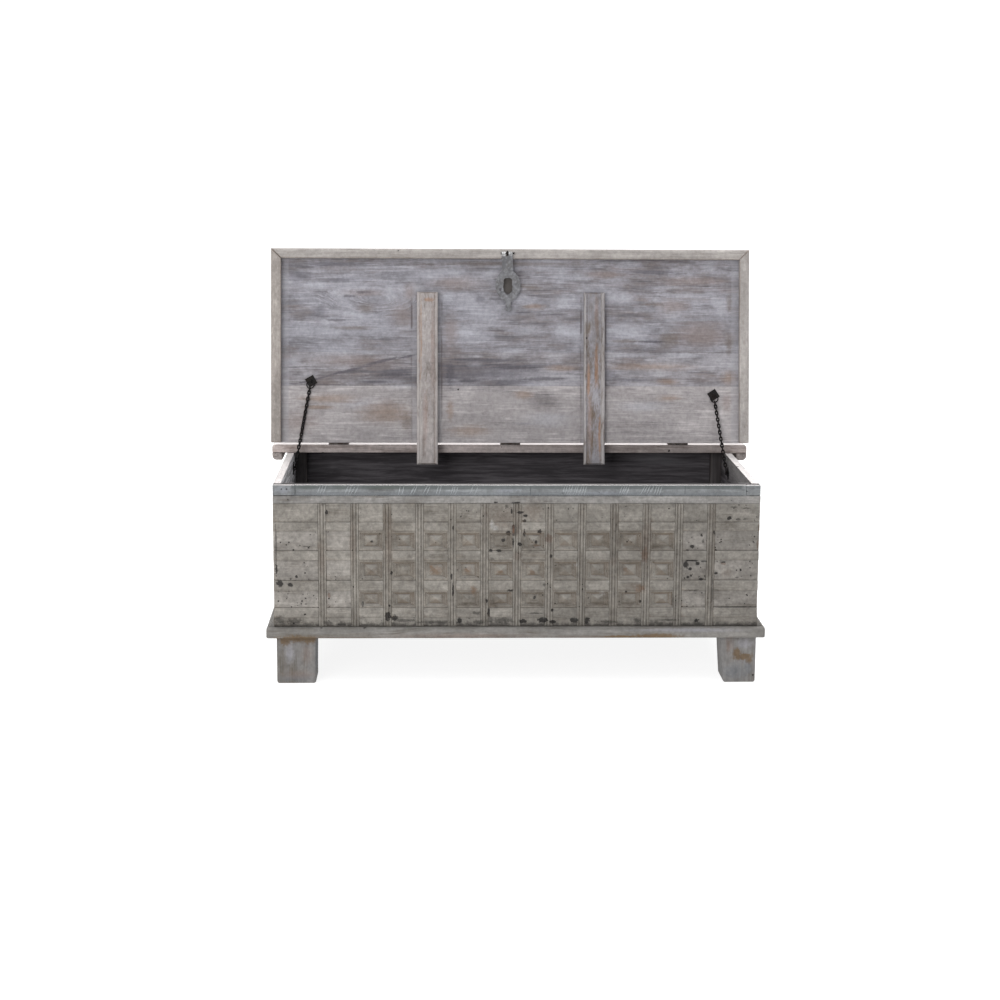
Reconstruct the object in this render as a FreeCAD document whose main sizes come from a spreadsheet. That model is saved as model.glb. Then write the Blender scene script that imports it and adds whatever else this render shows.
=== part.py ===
import FreeCAD, Part
import math
import os
import re
import Sketcher
from FreeCAD import Placement, Rotation, Vector

# A limewashed Indian dowry chest (damchiya), lid open and held by two chains.
# Millimetres. X runs to the right, Y to the rear, Z up. The origin is on the
# floor under the middle of the overall width and depth.

# Driving dimensions
SIZES = {
    "box_width": 1125.0,
    "box_depth": 562.0,
    "foot_height": 112.0,
    "carcass_height": 359.0,
    "side_thick": 18.0,
    "rear_thick": 22.0,
    "plank_seam": 0.4,
    "front_board_thick": 18.0,
    "carving_thick": 7.0,
    # The carved front, counted down from the wall top
    "top_rail_height": 24.7,
    "top_rail_end_left": 52.0,
    "top_rail_end_right": 33.0,
    "scarf_run": 9.0,
    "bead_height": 18.8,
    "bead_proud": 3.0,
    "bead_round": 5.0,
    "frieze_height": 43.7,
    "bar_height_1": 20.1,
    "bar_height_2": 21.4,
    "bar_height_3": 24.0,
    "bar_height_4": 22.8,
    "bottom_height": 21.3,
    "end_column_width": 112.5,
    "strip_width": 18.0,
    "strip_groove": 2.4,
    "bar_proud": 1.0,
    "recess": 2.0,
    "tile_border": 4.5,
    "tile_side_border": 5.5,
    "tile_step": 2.0,
    "tile_ledge": 4.0,
    "pyramid_side_margin": 3.7,
    "pyramid_top_margin": 3.0,
    "pyramid_flat": 4.0,
    "pyramid_rise": 4.5,
    "fit_gap": 0.3,
    # Inside the box
    "ledger_height": 12.0,
    "ledger_width": 22.0,
    "floor_thick": 12.0,
    "post_side": 28.0,
    "post_drop": 3.0,
    # Base
    "base_overhang": 18.0,
    "base_height": 25.3,
    "base_round": 9.0,
    "base_under_round": 4.0,
    "side_base_height": 55.0,
    "cove_depth": 12.5,
    "cove_hollow": 3.2,
    "foot_inset": 4.0,
    "foot_setback": 2.0,
    "foot_depth": 85.0,
    "foot_round": 6.0,
    "left_foot_width": 93.0,
    "left_foot_taper": 1.0,
    "right_foot_width": 88.0,
    "right_foot_taper": 5.0,
    # Lid and rear rail
    "lid_open": 100.0,
    "side_overhang": 37.5,
    "front_overhang": 28.0,
    "rail_overhang": 37.0,
    "hinge_forward": 103.0,
    "hinge_gap": 1.5,
    "seat_gap": 0.3,
    "rail_thick": 21.5,
    "edge_round": 8.6,
    "lip_width": 26.0,
    "lip_hang": 19.0,
    "lip_round": 12.0,
    "batten_width": 53.0,
    "batten_thick": 21.0,
    "batten_spread": 209.0,
    "batten_inset": 109.0,
    "batten_tail": 54.0,
    "tail_relief": 2.0,
    "batten_chamfer": 3.0,
    # Butt hinges
    "knuckle_radius": 3.0,
    "hinge_width": 50.0,
    "hinge_inset_left": 168.0,
    "hinge_inset_right": 176.0,
    "leaf_length": 30.0,
    "leaf_thick": 2.0,
    "middle_knuckle": 20.0,
    "pin_radius": 1.5,
    "pin_clearance": 0.05,
    "screw_radius": 3.2,
    "screw_head": 1.0,
    "screw_shank": 1.6,
    "screw_length": 14.0,
    "screw_edge": 8.0,
    # Hasp
    "hasp_shift": 9.0,
    "hasp_drop": 7.0,
    "hasp_length": 145.0,
    "hasp_tip_gap": 1.0,
    "hasp_inset": 13.0,
    "hasp_skew": 5.0,
    "hasp_thick": 3.0,
    "strap_width": 30.0,
    "strap_length": 44.0,
    "leaf_bulge": 22.0,
    "tab_width": 16.0,
    "tab_length": 24.0,
    "slot_width": 20.0,
    "slot_height": 35.0,
    "slot_round": 5.0,
    "nail_hole": 2.0,
    "nail_hole_shift": 17.0,
    "hasp_roll": 4.4,
    "hasp_pin": 2.0,
    "hasp_pin_overhang": 2.0,
    "pin_head": 3.4,
    "eye_wire": 2.2,
    "eye_shank": 15.0,
    "staple_reach": 17.5,
    "staple_bar": 2.6,
    "staple_spread": 20.0,
    "staple_sink": 20.0,
    # Chains
    "plate_side": 23.0,
    "plate_thick": 2.0,
    "plate_eye": 4.0,
    "plate_eye_wire": 1.3,
    "plate_eye_lift": 1.5,
    "ring_radius": 9.3,
    "ring_wire": 1.25,
    "ring_seat": 2.3,
    "link_length": 13.0,
    "link_width": 8.2,
    "link_wire": 1.1,
    "link_gap": 0.15,
    "left_plate_inset": 44.5,
    "left_plate_up": 155.0,
    "left_plate_turn": 40.0,
    "left_anchor_forward": 142.0,
    "left_anchor_drop": 33.0,
    "right_plate_inset": 33.5,
    "right_plate_up": 122.0,
    "right_plate_turn": 25.0,
    "right_anchor_forward": 170.0,
    "right_anchor_drop": 40.0,
    "wall_plate_turn": 45.0,
    # Nails through the lid into the battens
    "nail_radius": 3.0,
    "nail_proud": 0.8,
    "nail_length": 30.0,
}

# Shares of a piece's own size
LEFT_SIDE_SEAM_SHARE = 0.52
RIGHT_SIDE_SEAM_SHARE = 0.46
FRONT_SEAM_SHARE = 0.5
REAR_SEAM_SHARE = 0.55
FLOOR_SEAM_SHARES = (0.31, 0.66)
FIELD_HEIGHT_SHARES = (0.346, 0.357, 0.297)
LID_PLANK_SHARES = (0.2935, 0.173, 0.202)
SLOT_PLACE_SHARE = 0.4675
NAIL_HOLE_PLACE_SHARE = 0.61
EYE_STEM_SHARE = 0.85
ARC_RISE_SHARE = 0.29

doc = FreeCAD.newDocument("damchiya_chest")
sheet = doc.addObject("Spreadsheet::Sheet", "sizes")
for row, (alias, value) in enumerate(SIZES.items(), 1):
    sheet.set(f"A{row}", alias)
    sheet.set(f"B{row}", str(value))
    sheet.setAlias(f"B{row}", alias)
doc.recompute()

# Places worked out from the sizes, written as formulas on the sheet
HALF = "(box_width / 2)"
FRONT = "(-(box_depth + rail_overhang - base_overhang) / 2)"
REAR = f"({FRONT} + box_depth)"
TOP = "(foot_height + carcass_height)"
BOARD_BACK = f"({FRONT} + carving_thick + front_board_thick)"
INNER = f"({HALF} - side_thick)"
REAR_INNER = f"({REAR} - rear_thick)"
FLOOR_BOTTOM = "(foot_height + ledger_height)"
FLOOR_TOP = f"({FLOOR_BOTTOM} + floor_thick)"
HINGE_Y = f"({REAR} - hinge_forward)"
HINGE_Z = f"({TOP} + rail_thick + knuckle_radius)"
LID_HALF = f"({HALF} + side_overhang)"
RAIL_REAR = f"({REAR} + rail_overhang)"
# In the lid's own frame: origin on the hinge axis, axes as when it is shut
LID_REACH = "(box_depth - hinge_forward + front_overhang)"
BATTEN_REACH = f"({LID_REACH} - batten_inset)"
LID_OUTSIDE = "(-knuckle_radius)"
LID_INSIDE = "(-(knuckle_radius + rail_thick - seat_gap))"
HASP_PIN_Y = f"(-{LID_REACH} + hasp_inset)"
HASP_PIN_Z = f"({LID_INSIDE} - lip_hang - hasp_drop)"

ACROSS = Vector(1, 0, 0)
INWARD = Vector(0, 1, 0)
NODES = []


def formula(text):
    """Point each size named in the text at the sheet."""
    return re.sub(r"[a-z_][a-z0-9_]*", lambda word: f"sizes.{word[0]}" if word[0] in SIZES else word[0], text)


def size(text):
    """The value of a formula, in millimetres or degrees."""
    return float(sheet.evalExpression(formula(text)))


def bind(piece, **formulas):
    """Bind properties of a piece, such as Length, to formulas."""
    for name, text in formulas.items():
        piece.setExpression(name, formula(text))


def seat(piece, frame="box", x="0", y="0", z="0"):
    """Place a piece in the box's frame or, turned open, in the lid's frame."""
    if frame == "lid":
        piece.Placement = Placement(Vector(), Rotation(Vector(-1, 0, 0), size("lid_open")))
        piece.setExpression("Placement.Rotation.Angle", formula("lid_open"))
        y, z = (
            f"{HINGE_Y} + ({y}) * cos(lid_open) + ({z}) * sin(lid_open)",
            f"{HINGE_Z} - ({y}) * sin(lid_open) + ({z}) * cos(lid_open)",
        )
    for axis, text in zip("xyz", (x, y, z)):
        piece.setExpression(f"Placement.Base.{axis}", formula(text))
    return piece


def block(name, x, y, z, frame="box"):
    """A square-edged piece of wood, each span a pair (low, high) of formulas."""
    piece = doc.addObject("Part::Box", name)
    bind(piece, Length=f"({x[1]}) - ({x[0]})", Width=f"({y[1]}) - ({y[0]})", Height=f"({z[1]}) - ({z[0]})")
    return seat(piece, frame, x[0], y[0], z[0])


def rod(name, radius, length, start, axis):
    """A round bar that starts at a point, given as formulas, and runs along an axis."""
    piece = doc.addObject("Part::Cylinder", name)
    bind(piece, Radius=radius, Height=length)
    piece.Placement = Placement(Vector(), Rotation(Vector(0, 0, 1), axis))
    return seat(piece, "box", *start)


def cut(name, base, *tools):
    """One piece with others cut away from it."""
    tool = tools[0] if len(tools) == 1 else join(f"{name}_tools", *tools)
    piece = doc.addObject("Part::Cut", name)
    piece.Base = base
    piece.Tool = tool
    return piece


def join(name, *parts):
    """One piece out of several that meet."""
    piece = doc.addObject("Part::MultiFuse", name)
    piece.Shapes = list(parts)
    return piece


def group(name, parts):
    """Like pieces that share a node and stay separate solids."""
    piece = doc.addObject("Part::Compound", name)
    piece.Links = list(parts)
    return piece


def outline(name, plane, corners, length, offset="0"):
    """A body padded from a closed outline on one of its own planes.

    A corner is (across, up) or (across, up, bulge); a bulge makes the side that
    leaves the corner an arc that swells to its left by that much.
    """
    body = doc.addObject("PartDesign::Body", name)
    sketch = body.newObject("Sketcher::SketchObject", f"{name}_outline")
    support = next(item for item in body.Origin.OriginFeatures if item.Role == plane)
    sketch.AttachmentSupport = [(support, "")]
    sketch.MapMode = "FlatFace"
    sketch.setExpression("AttachmentOffset.Base.z", formula(offset))
    points = [Vector(size(corner[0]), size(corner[1]), 0) for corner in corners]
    count = len(corners)
    for here, corner in enumerate(corners):
        start = points[here]
        end = points[(here + 1) % count]
        if len(corner) == 2:
            sketch.addGeometry(Part.LineSegment(start, end), False)
            continue
        run = end - start
        left = Vector(-run.y, run.x, 0).normalize()
        middle = (start + end) / 2 + left * size(corner[2])
        sketch.addGeometry(Part.Arc(start, middle, end), False)
    for here, corner in enumerate(corners):
        after = (here + 1) % count
        arc = len(corner) == 3
        after_arc = len(corners[after]) == 3
        # A bulge to the left makes a clockwise arc, which is stored from its other end
        tail = 1 if arc and size(corner[2]) > 0 else 2
        head = 2 if after_arc and size(corners[after][2]) > 0 else 1
        sketch.addConstraint(Sketcher.Constraint("Coincident", here, tail, after, head))
    for here, corner in enumerate(corners):
        head = 2 if len(corner) == 3 and size(corner[2]) > 0 else 1
        place = points[here]
        for kind, text, value in (("DistanceX", corner[0], place.x), ("DistanceY", corner[1], place.y)):
            index = sketch.addConstraint(Sketcher.Constraint(kind, -1, 1, here, head, value))
            sketch.setExpression(f"Constraints[{index}]", formula(text))
    pad = body.newObject("PartDesign::Pad", f"{name}_pad")
    pad.Profile = sketch
    pad.setExpression("Length", formula(length))
    body.Tip = pad
    doc.recompute()
    return body


def soften(body, radius, chosen, kind="PartDesign::Fillet"):
    """Round or chamfer the edges of a body that the chosen test picks out."""
    tip = body.Tip
    edges = [f"Edge{number}" for number, edge in enumerate(tip.Shape.Edges, 1) if chosen(edge)]
    if not edges:
        raise ValueError(f"no edge to soften on {body.Label}")
    feature = body.newObject(kind, f"{body.Name}_softened")
    feature.Base = (tip, edges)
    feature.setExpression("Radius" if kind.endswith("Fillet") else "Size", formula(radius))
    body.Tip = feature
    doc.recompute()
    return body


def along(edge, axis):
    """True for a straight edge that runs along X, Y or Z."""
    run = edge.Vertexes[-1].Point - edge.Vertexes[0].Point
    return len(edge.Vertexes) == 2 and abs(abs(getattr(run, axis)) - edge.Length) < 1e-6


def lies_at(edge, **places):
    """True where the middle of the edge has the given x, y or z."""
    middle = edge.BoundBox.Center
    return all(abs(getattr(middle, axis) - place) < 1e-6 for axis, place in places.items())


def keep(piece):
    """Take a finished piece as a node of the chest."""
    NODES.append(piece)
    return piece


# Carcass planks
def two_planks(lower, upper, x, y, z, seam_share):
    """A wall of two planks, one above the other, with a thin seam."""
    seam = f"({z[0]} + ({z[1]} - {z[0]}) * {seam_share})"
    keep(block(lower, x, y, (z[0], seam)))
    keep(block(upper, x, y, (f"{seam} + plank_seam", z[1])))


BOARD_TOP = f"({TOP} - top_rail_height)"
two_planks("front_board_lower", "front_board_upper", (f"-{HALF}", HALF),
           (f"{FRONT} + carving_thick", BOARD_BACK), ("foot_height", BOARD_TOP), FRONT_SEAM_SHARE)
two_planks("left_side_lower", "left_side_upper", (f"-{HALF}", f"-{INNER}"),
           (BOARD_BACK, REAR), ("foot_height", TOP), LEFT_SIDE_SEAM_SHARE)
two_planks("right_side_lower", "right_side_upper", (INNER, HALF),
           (BOARD_BACK, REAR), ("foot_height", TOP), RIGHT_SIDE_SEAM_SHARE)
two_planks("rear_plank_lower", "rear_plank_upper", (f"-{INNER}", INNER),
           (REAR_INNER, REAR), ("foot_height", TOP), REAR_SEAM_SHARE)

# Floor, its ledgers and the corner posts
FLOOR_RUN = f"({REAR_INNER} - {BOARD_BACK})"
floor_edges = [BOARD_BACK]
for share in FLOOR_SEAM_SHARES:
    floor_edges.append(f"({BOARD_BACK} + {FLOOR_RUN} * {share})")
floor_edges.append(REAR_INNER)
for name, low, high in zip(("floor_board_front", "floor_board_middle", "floor_board_rear"),
                           floor_edges, floor_edges[1:]):
    seam = "" if high == REAR_INNER else " - plank_seam"
    keep(block(name, (f"-{INNER}", INNER), (low, f"{high}{seam}"), (FLOOR_BOTTOM, FLOOR_TOP)))

LEDGER_Z = ("foot_height", FLOOR_BOTTOM)
BETWEEN_LEDGERS = (f"{BOARD_BACK} + ledger_width", f"{REAR_INNER} - ledger_width")
keep(group("floor_ledgers", [
    block("ledger_front", (f"-{INNER}", INNER), (BOARD_BACK, f"{BOARD_BACK} + ledger_width"), LEDGER_Z),
    block("ledger_rear", (f"-{INNER}", INNER), (f"{REAR_INNER} - ledger_width", REAR_INNER), LEDGER_Z),
    block("ledger_left", (f"-{INNER}", f"-{INNER} + ledger_width"), BETWEEN_LEDGERS, LEDGER_Z),
    block("ledger_right", (f"{INNER} - ledger_width", INNER), BETWEEN_LEDGERS, LEDGER_Z),
]))

posts = []
for side, x in (("left", (f"-{INNER}", f"-{INNER} + post_side")), ("right", (f"{INNER} - post_side", INNER))):
    posts.append(block(f"post_front_{side}", x, (BOARD_BACK, f"{BOARD_BACK} + post_side"),
                       (FLOOR_TOP, f"{TOP} - post_drop")))
    posts.append(block(f"post_rear_{side}", x, (f"{REAR_INNER} - post_side", REAR_INNER),
                       (FLOOR_TOP, f"{TOP} - post_drop")))
keep(group("corner_posts", posts))


# Top rail of the front, between two scarfed end blocks
def top_rail_piece(name, corners):
    """A length of the top rail, its plan outline swept up through its height."""
    return seat(outline(name, "XY_Plane", corners, "top_rail_height"), "box", "0", FRONT, BOARD_TOP)


RAIL_DEPTH = "(carving_thick + front_board_thick)"
LEFT_SCARF = f"(-{HALF} + top_rail_end_left)"
RIGHT_SCARF = f"({HALF} - top_rail_end_right)"
keep(top_rail_piece("front_top_rail", [
    (f"{LEFT_SCARF} + plank_seam", "0"), (f"{RIGHT_SCARF} - plank_seam", "0"),
    (f"{RIGHT_SCARF} - plank_seam", RAIL_DEPTH), (f"{LEFT_SCARF} + plank_seam - scarf_run", RAIL_DEPTH)]))
keep(group("front_top_rail_ends", [
    top_rail_piece("top_rail_end_block_left", [
        (f"-{HALF}", "0"), (LEFT_SCARF, "0"),
        (f"{LEFT_SCARF} - scarf_run", RAIL_DEPTH), (f"-{HALF}", RAIL_DEPTH)]),
    top_rail_piece("top_rail_end_block_right", [
        (RIGHT_SCARF, "0"), (HALF, "0"), (HALF, RAIL_DEPTH), (RIGHT_SCARF, RAIL_DEPTH)]),
]))

# Bead under the top rail, proud of the carving, with both front edges rounded
BEAD_BOTTOM = f"({BOARD_TOP} - bead_height)"
bead = outline("front_bead", "YZ_Plane", [
    ("-bead_proud", "0"), ("carving_thick", "0"),
    ("carving_thick", "bead_height"), ("-bead_proud", "bead_height")], "box_width")
soften(bead, "bead_round", lambda edge: along(edge, "x") and lies_at(edge, y=-size("bead_proud")))
keep(seat(bead, "box", f"-{HALF}", FRONT, BEAD_BOTTOM))

# Rows of the carved front, from the top: the three rows of fields share what the others leave
BASE_TOP = "(foot_height + base_height)"
BAR_STACK = "(bar_height_1 + bar_height_2 + bar_height_3 + bar_height_4)"
FIELD_STACK = f"({BEAD_BOTTOM} - frieze_height - {BAR_STACK} - bottom_height - {BASE_TOP})"
ROW_HEIGHTS = {"frieze": "frieze_height"}
for number, share in enumerate(FIELD_HEIGHT_SHARES, 1):
    ROW_HEIGHTS[f"bar_{number}"] = f"bar_height_{number}"
    ROW_HEIGHTS[f"field_{number}"] = f"({FIELD_STACK} * {share})"
ROW_HEIGHTS["bar_4"] = "bar_height_4"
ROWS = {}
row_high = BEAD_BOTTOM
for row_name, height in ROW_HEIGHTS.items():
    row_low = f"({row_high} - {height})"
    ROWS[row_name] = (row_low, row_high)
    row_high = row_low
ROWS["bottom"] = (BASE_TOP, row_high)

# Columns: the strips stand at equal pitch between two wider end columns
STRIP_COUNT = 13
STRIP_PITCH = f"((box_width - 2 * end_column_width) / {STRIP_COUNT - 1})"
STRIP_PLACES = [f"({number - STRIP_COUNT // 2} * {STRIP_PITCH})" for number in range(STRIP_COUNT)]
COLUMNS = []
for left, right in zip([None] + STRIP_PLACES, STRIP_PLACES + [None]):
    low = f"-{HALF}" if left is None else f"{left} + strip_width / 2 + fit_gap"
    high = HALF if right is None else f"{right} - strip_width / 2 - fit_gap"
    COLUMNS.append((low, high))
PLAIN_COLUMNS = (0, 1, len(COLUMNS) - 2, len(COLUMNS) - 1)


def front_row(name, row, proud, columns=None):
    """The blocks of one row, one to a column, standing proud of the strips by some amount."""
    chosen = range(len(COLUMNS)) if columns is None else columns
    depth = (f"{FRONT} - ({proud})", f"{FRONT} + carving_thick")
    return [block(f"{name}_{number + 1}", COLUMNS[number], depth, ROWS[row]) for number in chosen]


keep(group("frieze_blocks", front_row("frieze", "frieze", "-recess / 2")))
bars = []
for number in range(1, 5):
    bars += front_row(f"crossbar_{number}", f"bar_{number}", "bar_proud")
keep(group("crossbars", bars))
plain_blocks = []
for number in range(1, 4):
    plain_blocks += front_row(f"plain_field_{number}", f"field_{number}", "-recess", PLAIN_COLUMNS)
keep(group("plain_field_blocks", plain_blocks))
keep(group("bottom_blocks", front_row("bottom_block", "bottom", "-recess / 2")))

# Upright strips, each with two grooves down its face
strips = []
groove_bottom = f"{FRONT} + strip_groove"
for number, place in enumerate(STRIP_PLACES, 1):
    strip = block(f"strip_{number}_blank", (f"{place} - strip_width / 2", f"{place} + strip_width / 2"),
                  (FRONT, f"{FRONT} + carving_thick"), (BASE_TOP, BEAD_BOTTOM))
    grooves = []
    for side in (-1, 1):
        middle = f"({place} + {side} * strip_width / 5)"
        grooves.append(block(f"strip_{number}_groove_{side + 2}",
                             (f"{middle} - strip_groove / 2", f"{middle} + strip_groove / 2"),
                             (f"{FRONT} - strip_groove", groove_bottom),
                             (f"{BASE_TOP} - strip_groove", f"{BEAD_BOTTOM} + strip_groove")))
    strips.append(cut(f"strip_{number}", strip, *grooves))
keep(group("dividing_strips", strips))


# Nailhead tiles: a sunk, stepped frame with a low pyramid in the middle
def nailhead_tile(name, column, row):
    """One carved tile in a column and row of the front."""
    low, high = ROWS[row]
    face = f"({FRONT} + recess / 2)"
    blank = block(f"{name}_blank", column, (face, f"{FRONT} + carving_thick"), (low, high))
    inner_x = (f"{column[0]} + tile_side_border", f"{column[1]} - tile_side_border")
    inner_z = (f"{low} + tile_border", f"{high} - tile_border")
    shallow = f"({face} + tile_step / 2)"
    deep = f"({face} + tile_step * 2)"
    upper_sink = block(f"{name}_upper_sink", inner_x, (f"{face} - tile_step", shallow), inner_z)
    sink_x = (f"{inner_x[0]} + tile_side_border", f"{inner_x[1]} - tile_side_border")
    sink_z = (f"{inner_z[0]} + tile_ledge / 2", f"{inner_z[1]} - tile_ledge / 2")
    lower_sink = block(f"{name}_lower_sink", sink_x, (f"{face} - tile_step", deep), sink_z)
    half_wide = f"((({sink_x[1]}) - ({sink_x[0]})) / 2 - pyramid_side_margin)"
    half_tall = f"((({sink_z[1]}) - ({sink_z[0]})) / 2 - pyramid_top_margin)"
    pyramid = doc.addObject("Part::Wedge", f"{name}_pyramid")
    # The wedge's Y is its height, so it is turned to rise towards the front
    bind(pyramid, Xmin=f"-{half_wide}", Xmax=half_wide, Zmin=f"-{half_tall}", Zmax=half_tall, Ymin="0",
         Ymax="pyramid_rise", X2min="-pyramid_flat / 2", X2max="pyramid_flat / 2",
         Z2min="-pyramid_flat / 2", Z2max="pyramid_flat / 2")
    pyramid.Placement = Placement(Vector(), Rotation(Vector(0, 0, 1), 180))
    seat(pyramid, "box", f"(({column[0]}) + ({column[1]})) / 2", deep, f"(({low}) + ({high})) / 2")
    sunk = cut(f"{name}_sunk", blank, upper_sink, lower_sink)
    return join(name, sunk, pyramid)


tiles = []
for number, column in enumerate(COLUMNS):
    if number in PLAIN_COLUMNS:
        continue
    for row in range(1, 4):
        tiles.append(nailhead_tile(f"tile_{row}_{number + 1}", column, f"field_{row}"))
keep(group("nailhead_tiles", tiles))


# Base mouldings: a bullnose at front and rear, with a cove above it on the two sides
def base_moulding(name, plane, side, coved, length, x, y):
    """A moulding whose profile stands out to one side of the box; side is 1 or -1."""
    under_rise = f"-{side} * base_under_round * {ARC_RISE_SHARE}"
    nose_rise = f"-{side} * base_round * {ARC_RISE_SHARE}"
    corners = [
        ("0", "0"),
        (f"{side} * (base_overhang - base_under_round)", "0", under_rise),
        (f"{side} * base_overhang", "base_under_round"),
        (f"{side} * base_overhang", "base_height - base_round", nose_rise),
    ]
    if coved:
        corners.append((f"{side} * cove_depth", "base_height", f"{side} * cove_hollow"))
        corners.append(("0", "side_base_height"))
    else:
        corners.append((f"{side} * (base_overhang - base_round)", "base_height"))
        corners.append(("0", "base_height"))
    body = outline(name, plane, corners, length)
    return keep(seat(body, "box", x, y, "foot_height"))


base_length = "(box_width + 2 * base_overhang)"
base_start = f"(-{HALF} - base_overhang)"
base_moulding("base_moulding_front", "YZ_Plane", -1, False, base_length, base_start, FRONT)
base_moulding("base_moulding_rear", "YZ_Plane", 1, False, base_length, base_start, REAR)
base_moulding("base_moulding_left", "XZ_Plane", -1, True, "box_depth", f"-{HALF}", REAR)
base_moulding("base_moulding_right", "XZ_Plane", 1, True, "box_depth", HALF, REAR)


# Feet, tapered on the inner side, upright corners rounded
def foot(name, side, y):
    """One foot; its outline is the front view and y is its rear face."""
    sign = -1 if side == "left" else 1
    outer = f"{sign} * ({HALF} - foot_inset)"
    inner_top = f"{sign} * ({HALF} - foot_inset - {side}_foot_width)"
    inner_foot = f"{sign} * ({HALF} - foot_inset - {side}_foot_width + {side}_foot_taper)"
    body = outline(name, "XZ_Plane", [(outer, "0"), (inner_foot, "0"), (inner_top, "foot_height"),
                                      (outer, "foot_height")], "foot_depth")
    tall = size("foot_height") * 0.99
    soften(body, "foot_round", lambda edge: abs(edge.BoundBox.ZLength) > tall)
    return keep(seat(body, "box", "0", y))


for side in ("left", "right"):
    foot(f"foot_front_{side}", side, f"{FRONT} + foot_setback + foot_depth")
    foot(f"foot_rear_{side}", side, f"{REAR} - foot_setback")

# Fixed rear rail and the lips under its ends and rear edge
RAIL_FRONT = f"({HINGE_Y} + hinge_gap)"
rail_depth = f"({RAIL_REAR} - {RAIL_FRONT})"
rail = outline("rear_rail", "XY_Plane", [(f"-{LID_HALF}", "0"), (LID_HALF, "0"), (LID_HALF, rail_depth),
                                         (f"-{LID_HALF}", rail_depth)], "rail_thick")
soften(rail, "edge_round", lambda edge: along(edge, "y") and lies_at(edge, z=size("rail_thick")))
keep(seat(rail, "box", "0", RAIL_FRONT, TOP))

LIP_Z = (f"{TOP} - lip_hang", TOP)
for side, sign in (("left", -1), ("right", 1)):
    low, high = sorted((f"{sign} * {LID_HALF}", f"{sign} * ({LID_HALF} - lip_width)"), key=size)
    lip_run = f"({rail_depth} - lip_width)"
    lip = outline(f"rail_lip_{side}", "XY_Plane", [(low, "0"), (high, "0"), (high, lip_run), (low, lip_run)],
                  "lip_hang")
    outer = sign * size(LID_HALF)
    soften(lip, "lip_round", lambda edge: along(edge, "y") and lies_at(edge, x=outer, z=0))
    keep(seat(lip, "box", "0", RAIL_FRONT, LIP_Z[0]))
rear_lip = outline("rail_lip_rear", "XY_Plane", [
    (f"-{LID_HALF}", "0"), (LID_HALF, "0"), (LID_HALF, "lip_width"), (f"-{LID_HALF}", "lip_width")], "lip_hang")
soften(rear_lip, "lip_round", lambda edge: along(edge, "x") and lies_at(edge, y=size("lip_width"), z=0))
keep(seat(rear_lip, "box", "0", f"{RAIL_REAR} - lip_width", LIP_Z[0]))

# Lid planks, from the hinge edge to the front edge
plank_names = ("lid_plank_rear", "lid_plank_second", "lid_plank_third", "lid_plank_front")
plank_edges = ["(-hinge_gap)"]
for share in LID_PLANK_SHARES:
    plank_edges.append(f"({plank_edges[-1]} - ({LID_REACH} - hinge_gap) * {share})")
plank_edges.append(f"(-{LID_REACH})")
for name, high, low in zip(plank_names, plank_edges, plank_edges[1:]):
    seam = "" if name == "lid_plank_front" else " + plank_seam"
    plank = outline(name, "XY_Plane", [(f"-{LID_HALF}", f"{low}{seam}"), (LID_HALF, f"{low}{seam}"),
                                       (LID_HALF, high), (f"-{LID_HALF}", high)],
                    "rail_thick - seat_gap", LID_INSIDE)
    outside = size(LID_OUTSIDE)
    front_edge = -size(LID_REACH)
    soften(plank, "edge_round", lambda edge: lies_at(edge, z=outside) and (
        along(edge, "y") or along(edge, "x") and lies_at(edge, y=front_edge)))
    keep(seat(plank, "lid"))

# Lips under the front and sides of the lid, mitred at the two corners
LIP_BOTTOM = f"({LID_INSIDE} - lip_hang)"
front_lip = outline("lid_lip_front", "XY_Plane", [
    (f"-{LID_HALF}", f"-{LID_REACH}"), (LID_HALF, f"-{LID_REACH}"),
    (f"{LID_HALF} - lip_width", f"-{LID_REACH} + lip_width"),
    (f"-{LID_HALF} + lip_width", f"-{LID_REACH} + lip_width")], "lip_hang", LIP_BOTTOM)
lip_bottom = size(LIP_BOTTOM)
soften(front_lip, "lip_round",
       lambda edge: along(edge, "x") and lies_at(edge, y=-size(LID_REACH), z=lip_bottom))
keep(seat(front_lip, "lid"))
for side, sign in (("left", -1), ("right", 1)):
    corners = [(f"{sign} * {LID_HALF}", f"-{LID_REACH}"),
               (f"{sign} * ({LID_HALF} - lip_width)", f"-{LID_REACH} + lip_width"),
               (f"{sign} * ({LID_HALF} - lip_width)", "-hinge_gap"),
               (f"{sign} * {LID_HALF}", "-hinge_gap")]
    lip = outline(f"lid_lip_{side}", "XY_Plane", corners, "lip_hang", LIP_BOTTOM)
    outer = sign * size(LID_HALF)
    soften(lip, "lip_round", lambda edge: along(edge, "y") and lies_at(edge, x=outer, z=lip_bottom))
    keep(seat(lip, "lid"))

# Battens across the planks; each tail runs on behind the hinge and passes under the rail
TAIL_TOP = f"({LID_INSIDE} - tail_relief)"
BATTEN_BOTTOM = f"({LID_INSIDE} - batten_thick)"
for side, sign in (("left", -1), ("right", 1)):
    batten = outline(f"lid_batten_{side}", "YZ_Plane", [
        (f"-{BATTEN_REACH}", BATTEN_BOTTOM), ("batten_tail", BATTEN_BOTTOM), ("batten_tail", TAIL_TOP),
        ("-hinge_gap", TAIL_TOP), ("-hinge_gap", LID_INSIDE), (f"-{BATTEN_REACH}", LID_INSIDE)], "batten_width")
    under = size(BATTEN_BOTTOM)
    soften(batten, "batten_chamfer", lambda edge: lies_at(edge, z=under), "PartDesign::Chamfer")
    keep(seat(batten, "lid", f"{sign} * batten_spread - batten_width / 2"))


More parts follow.
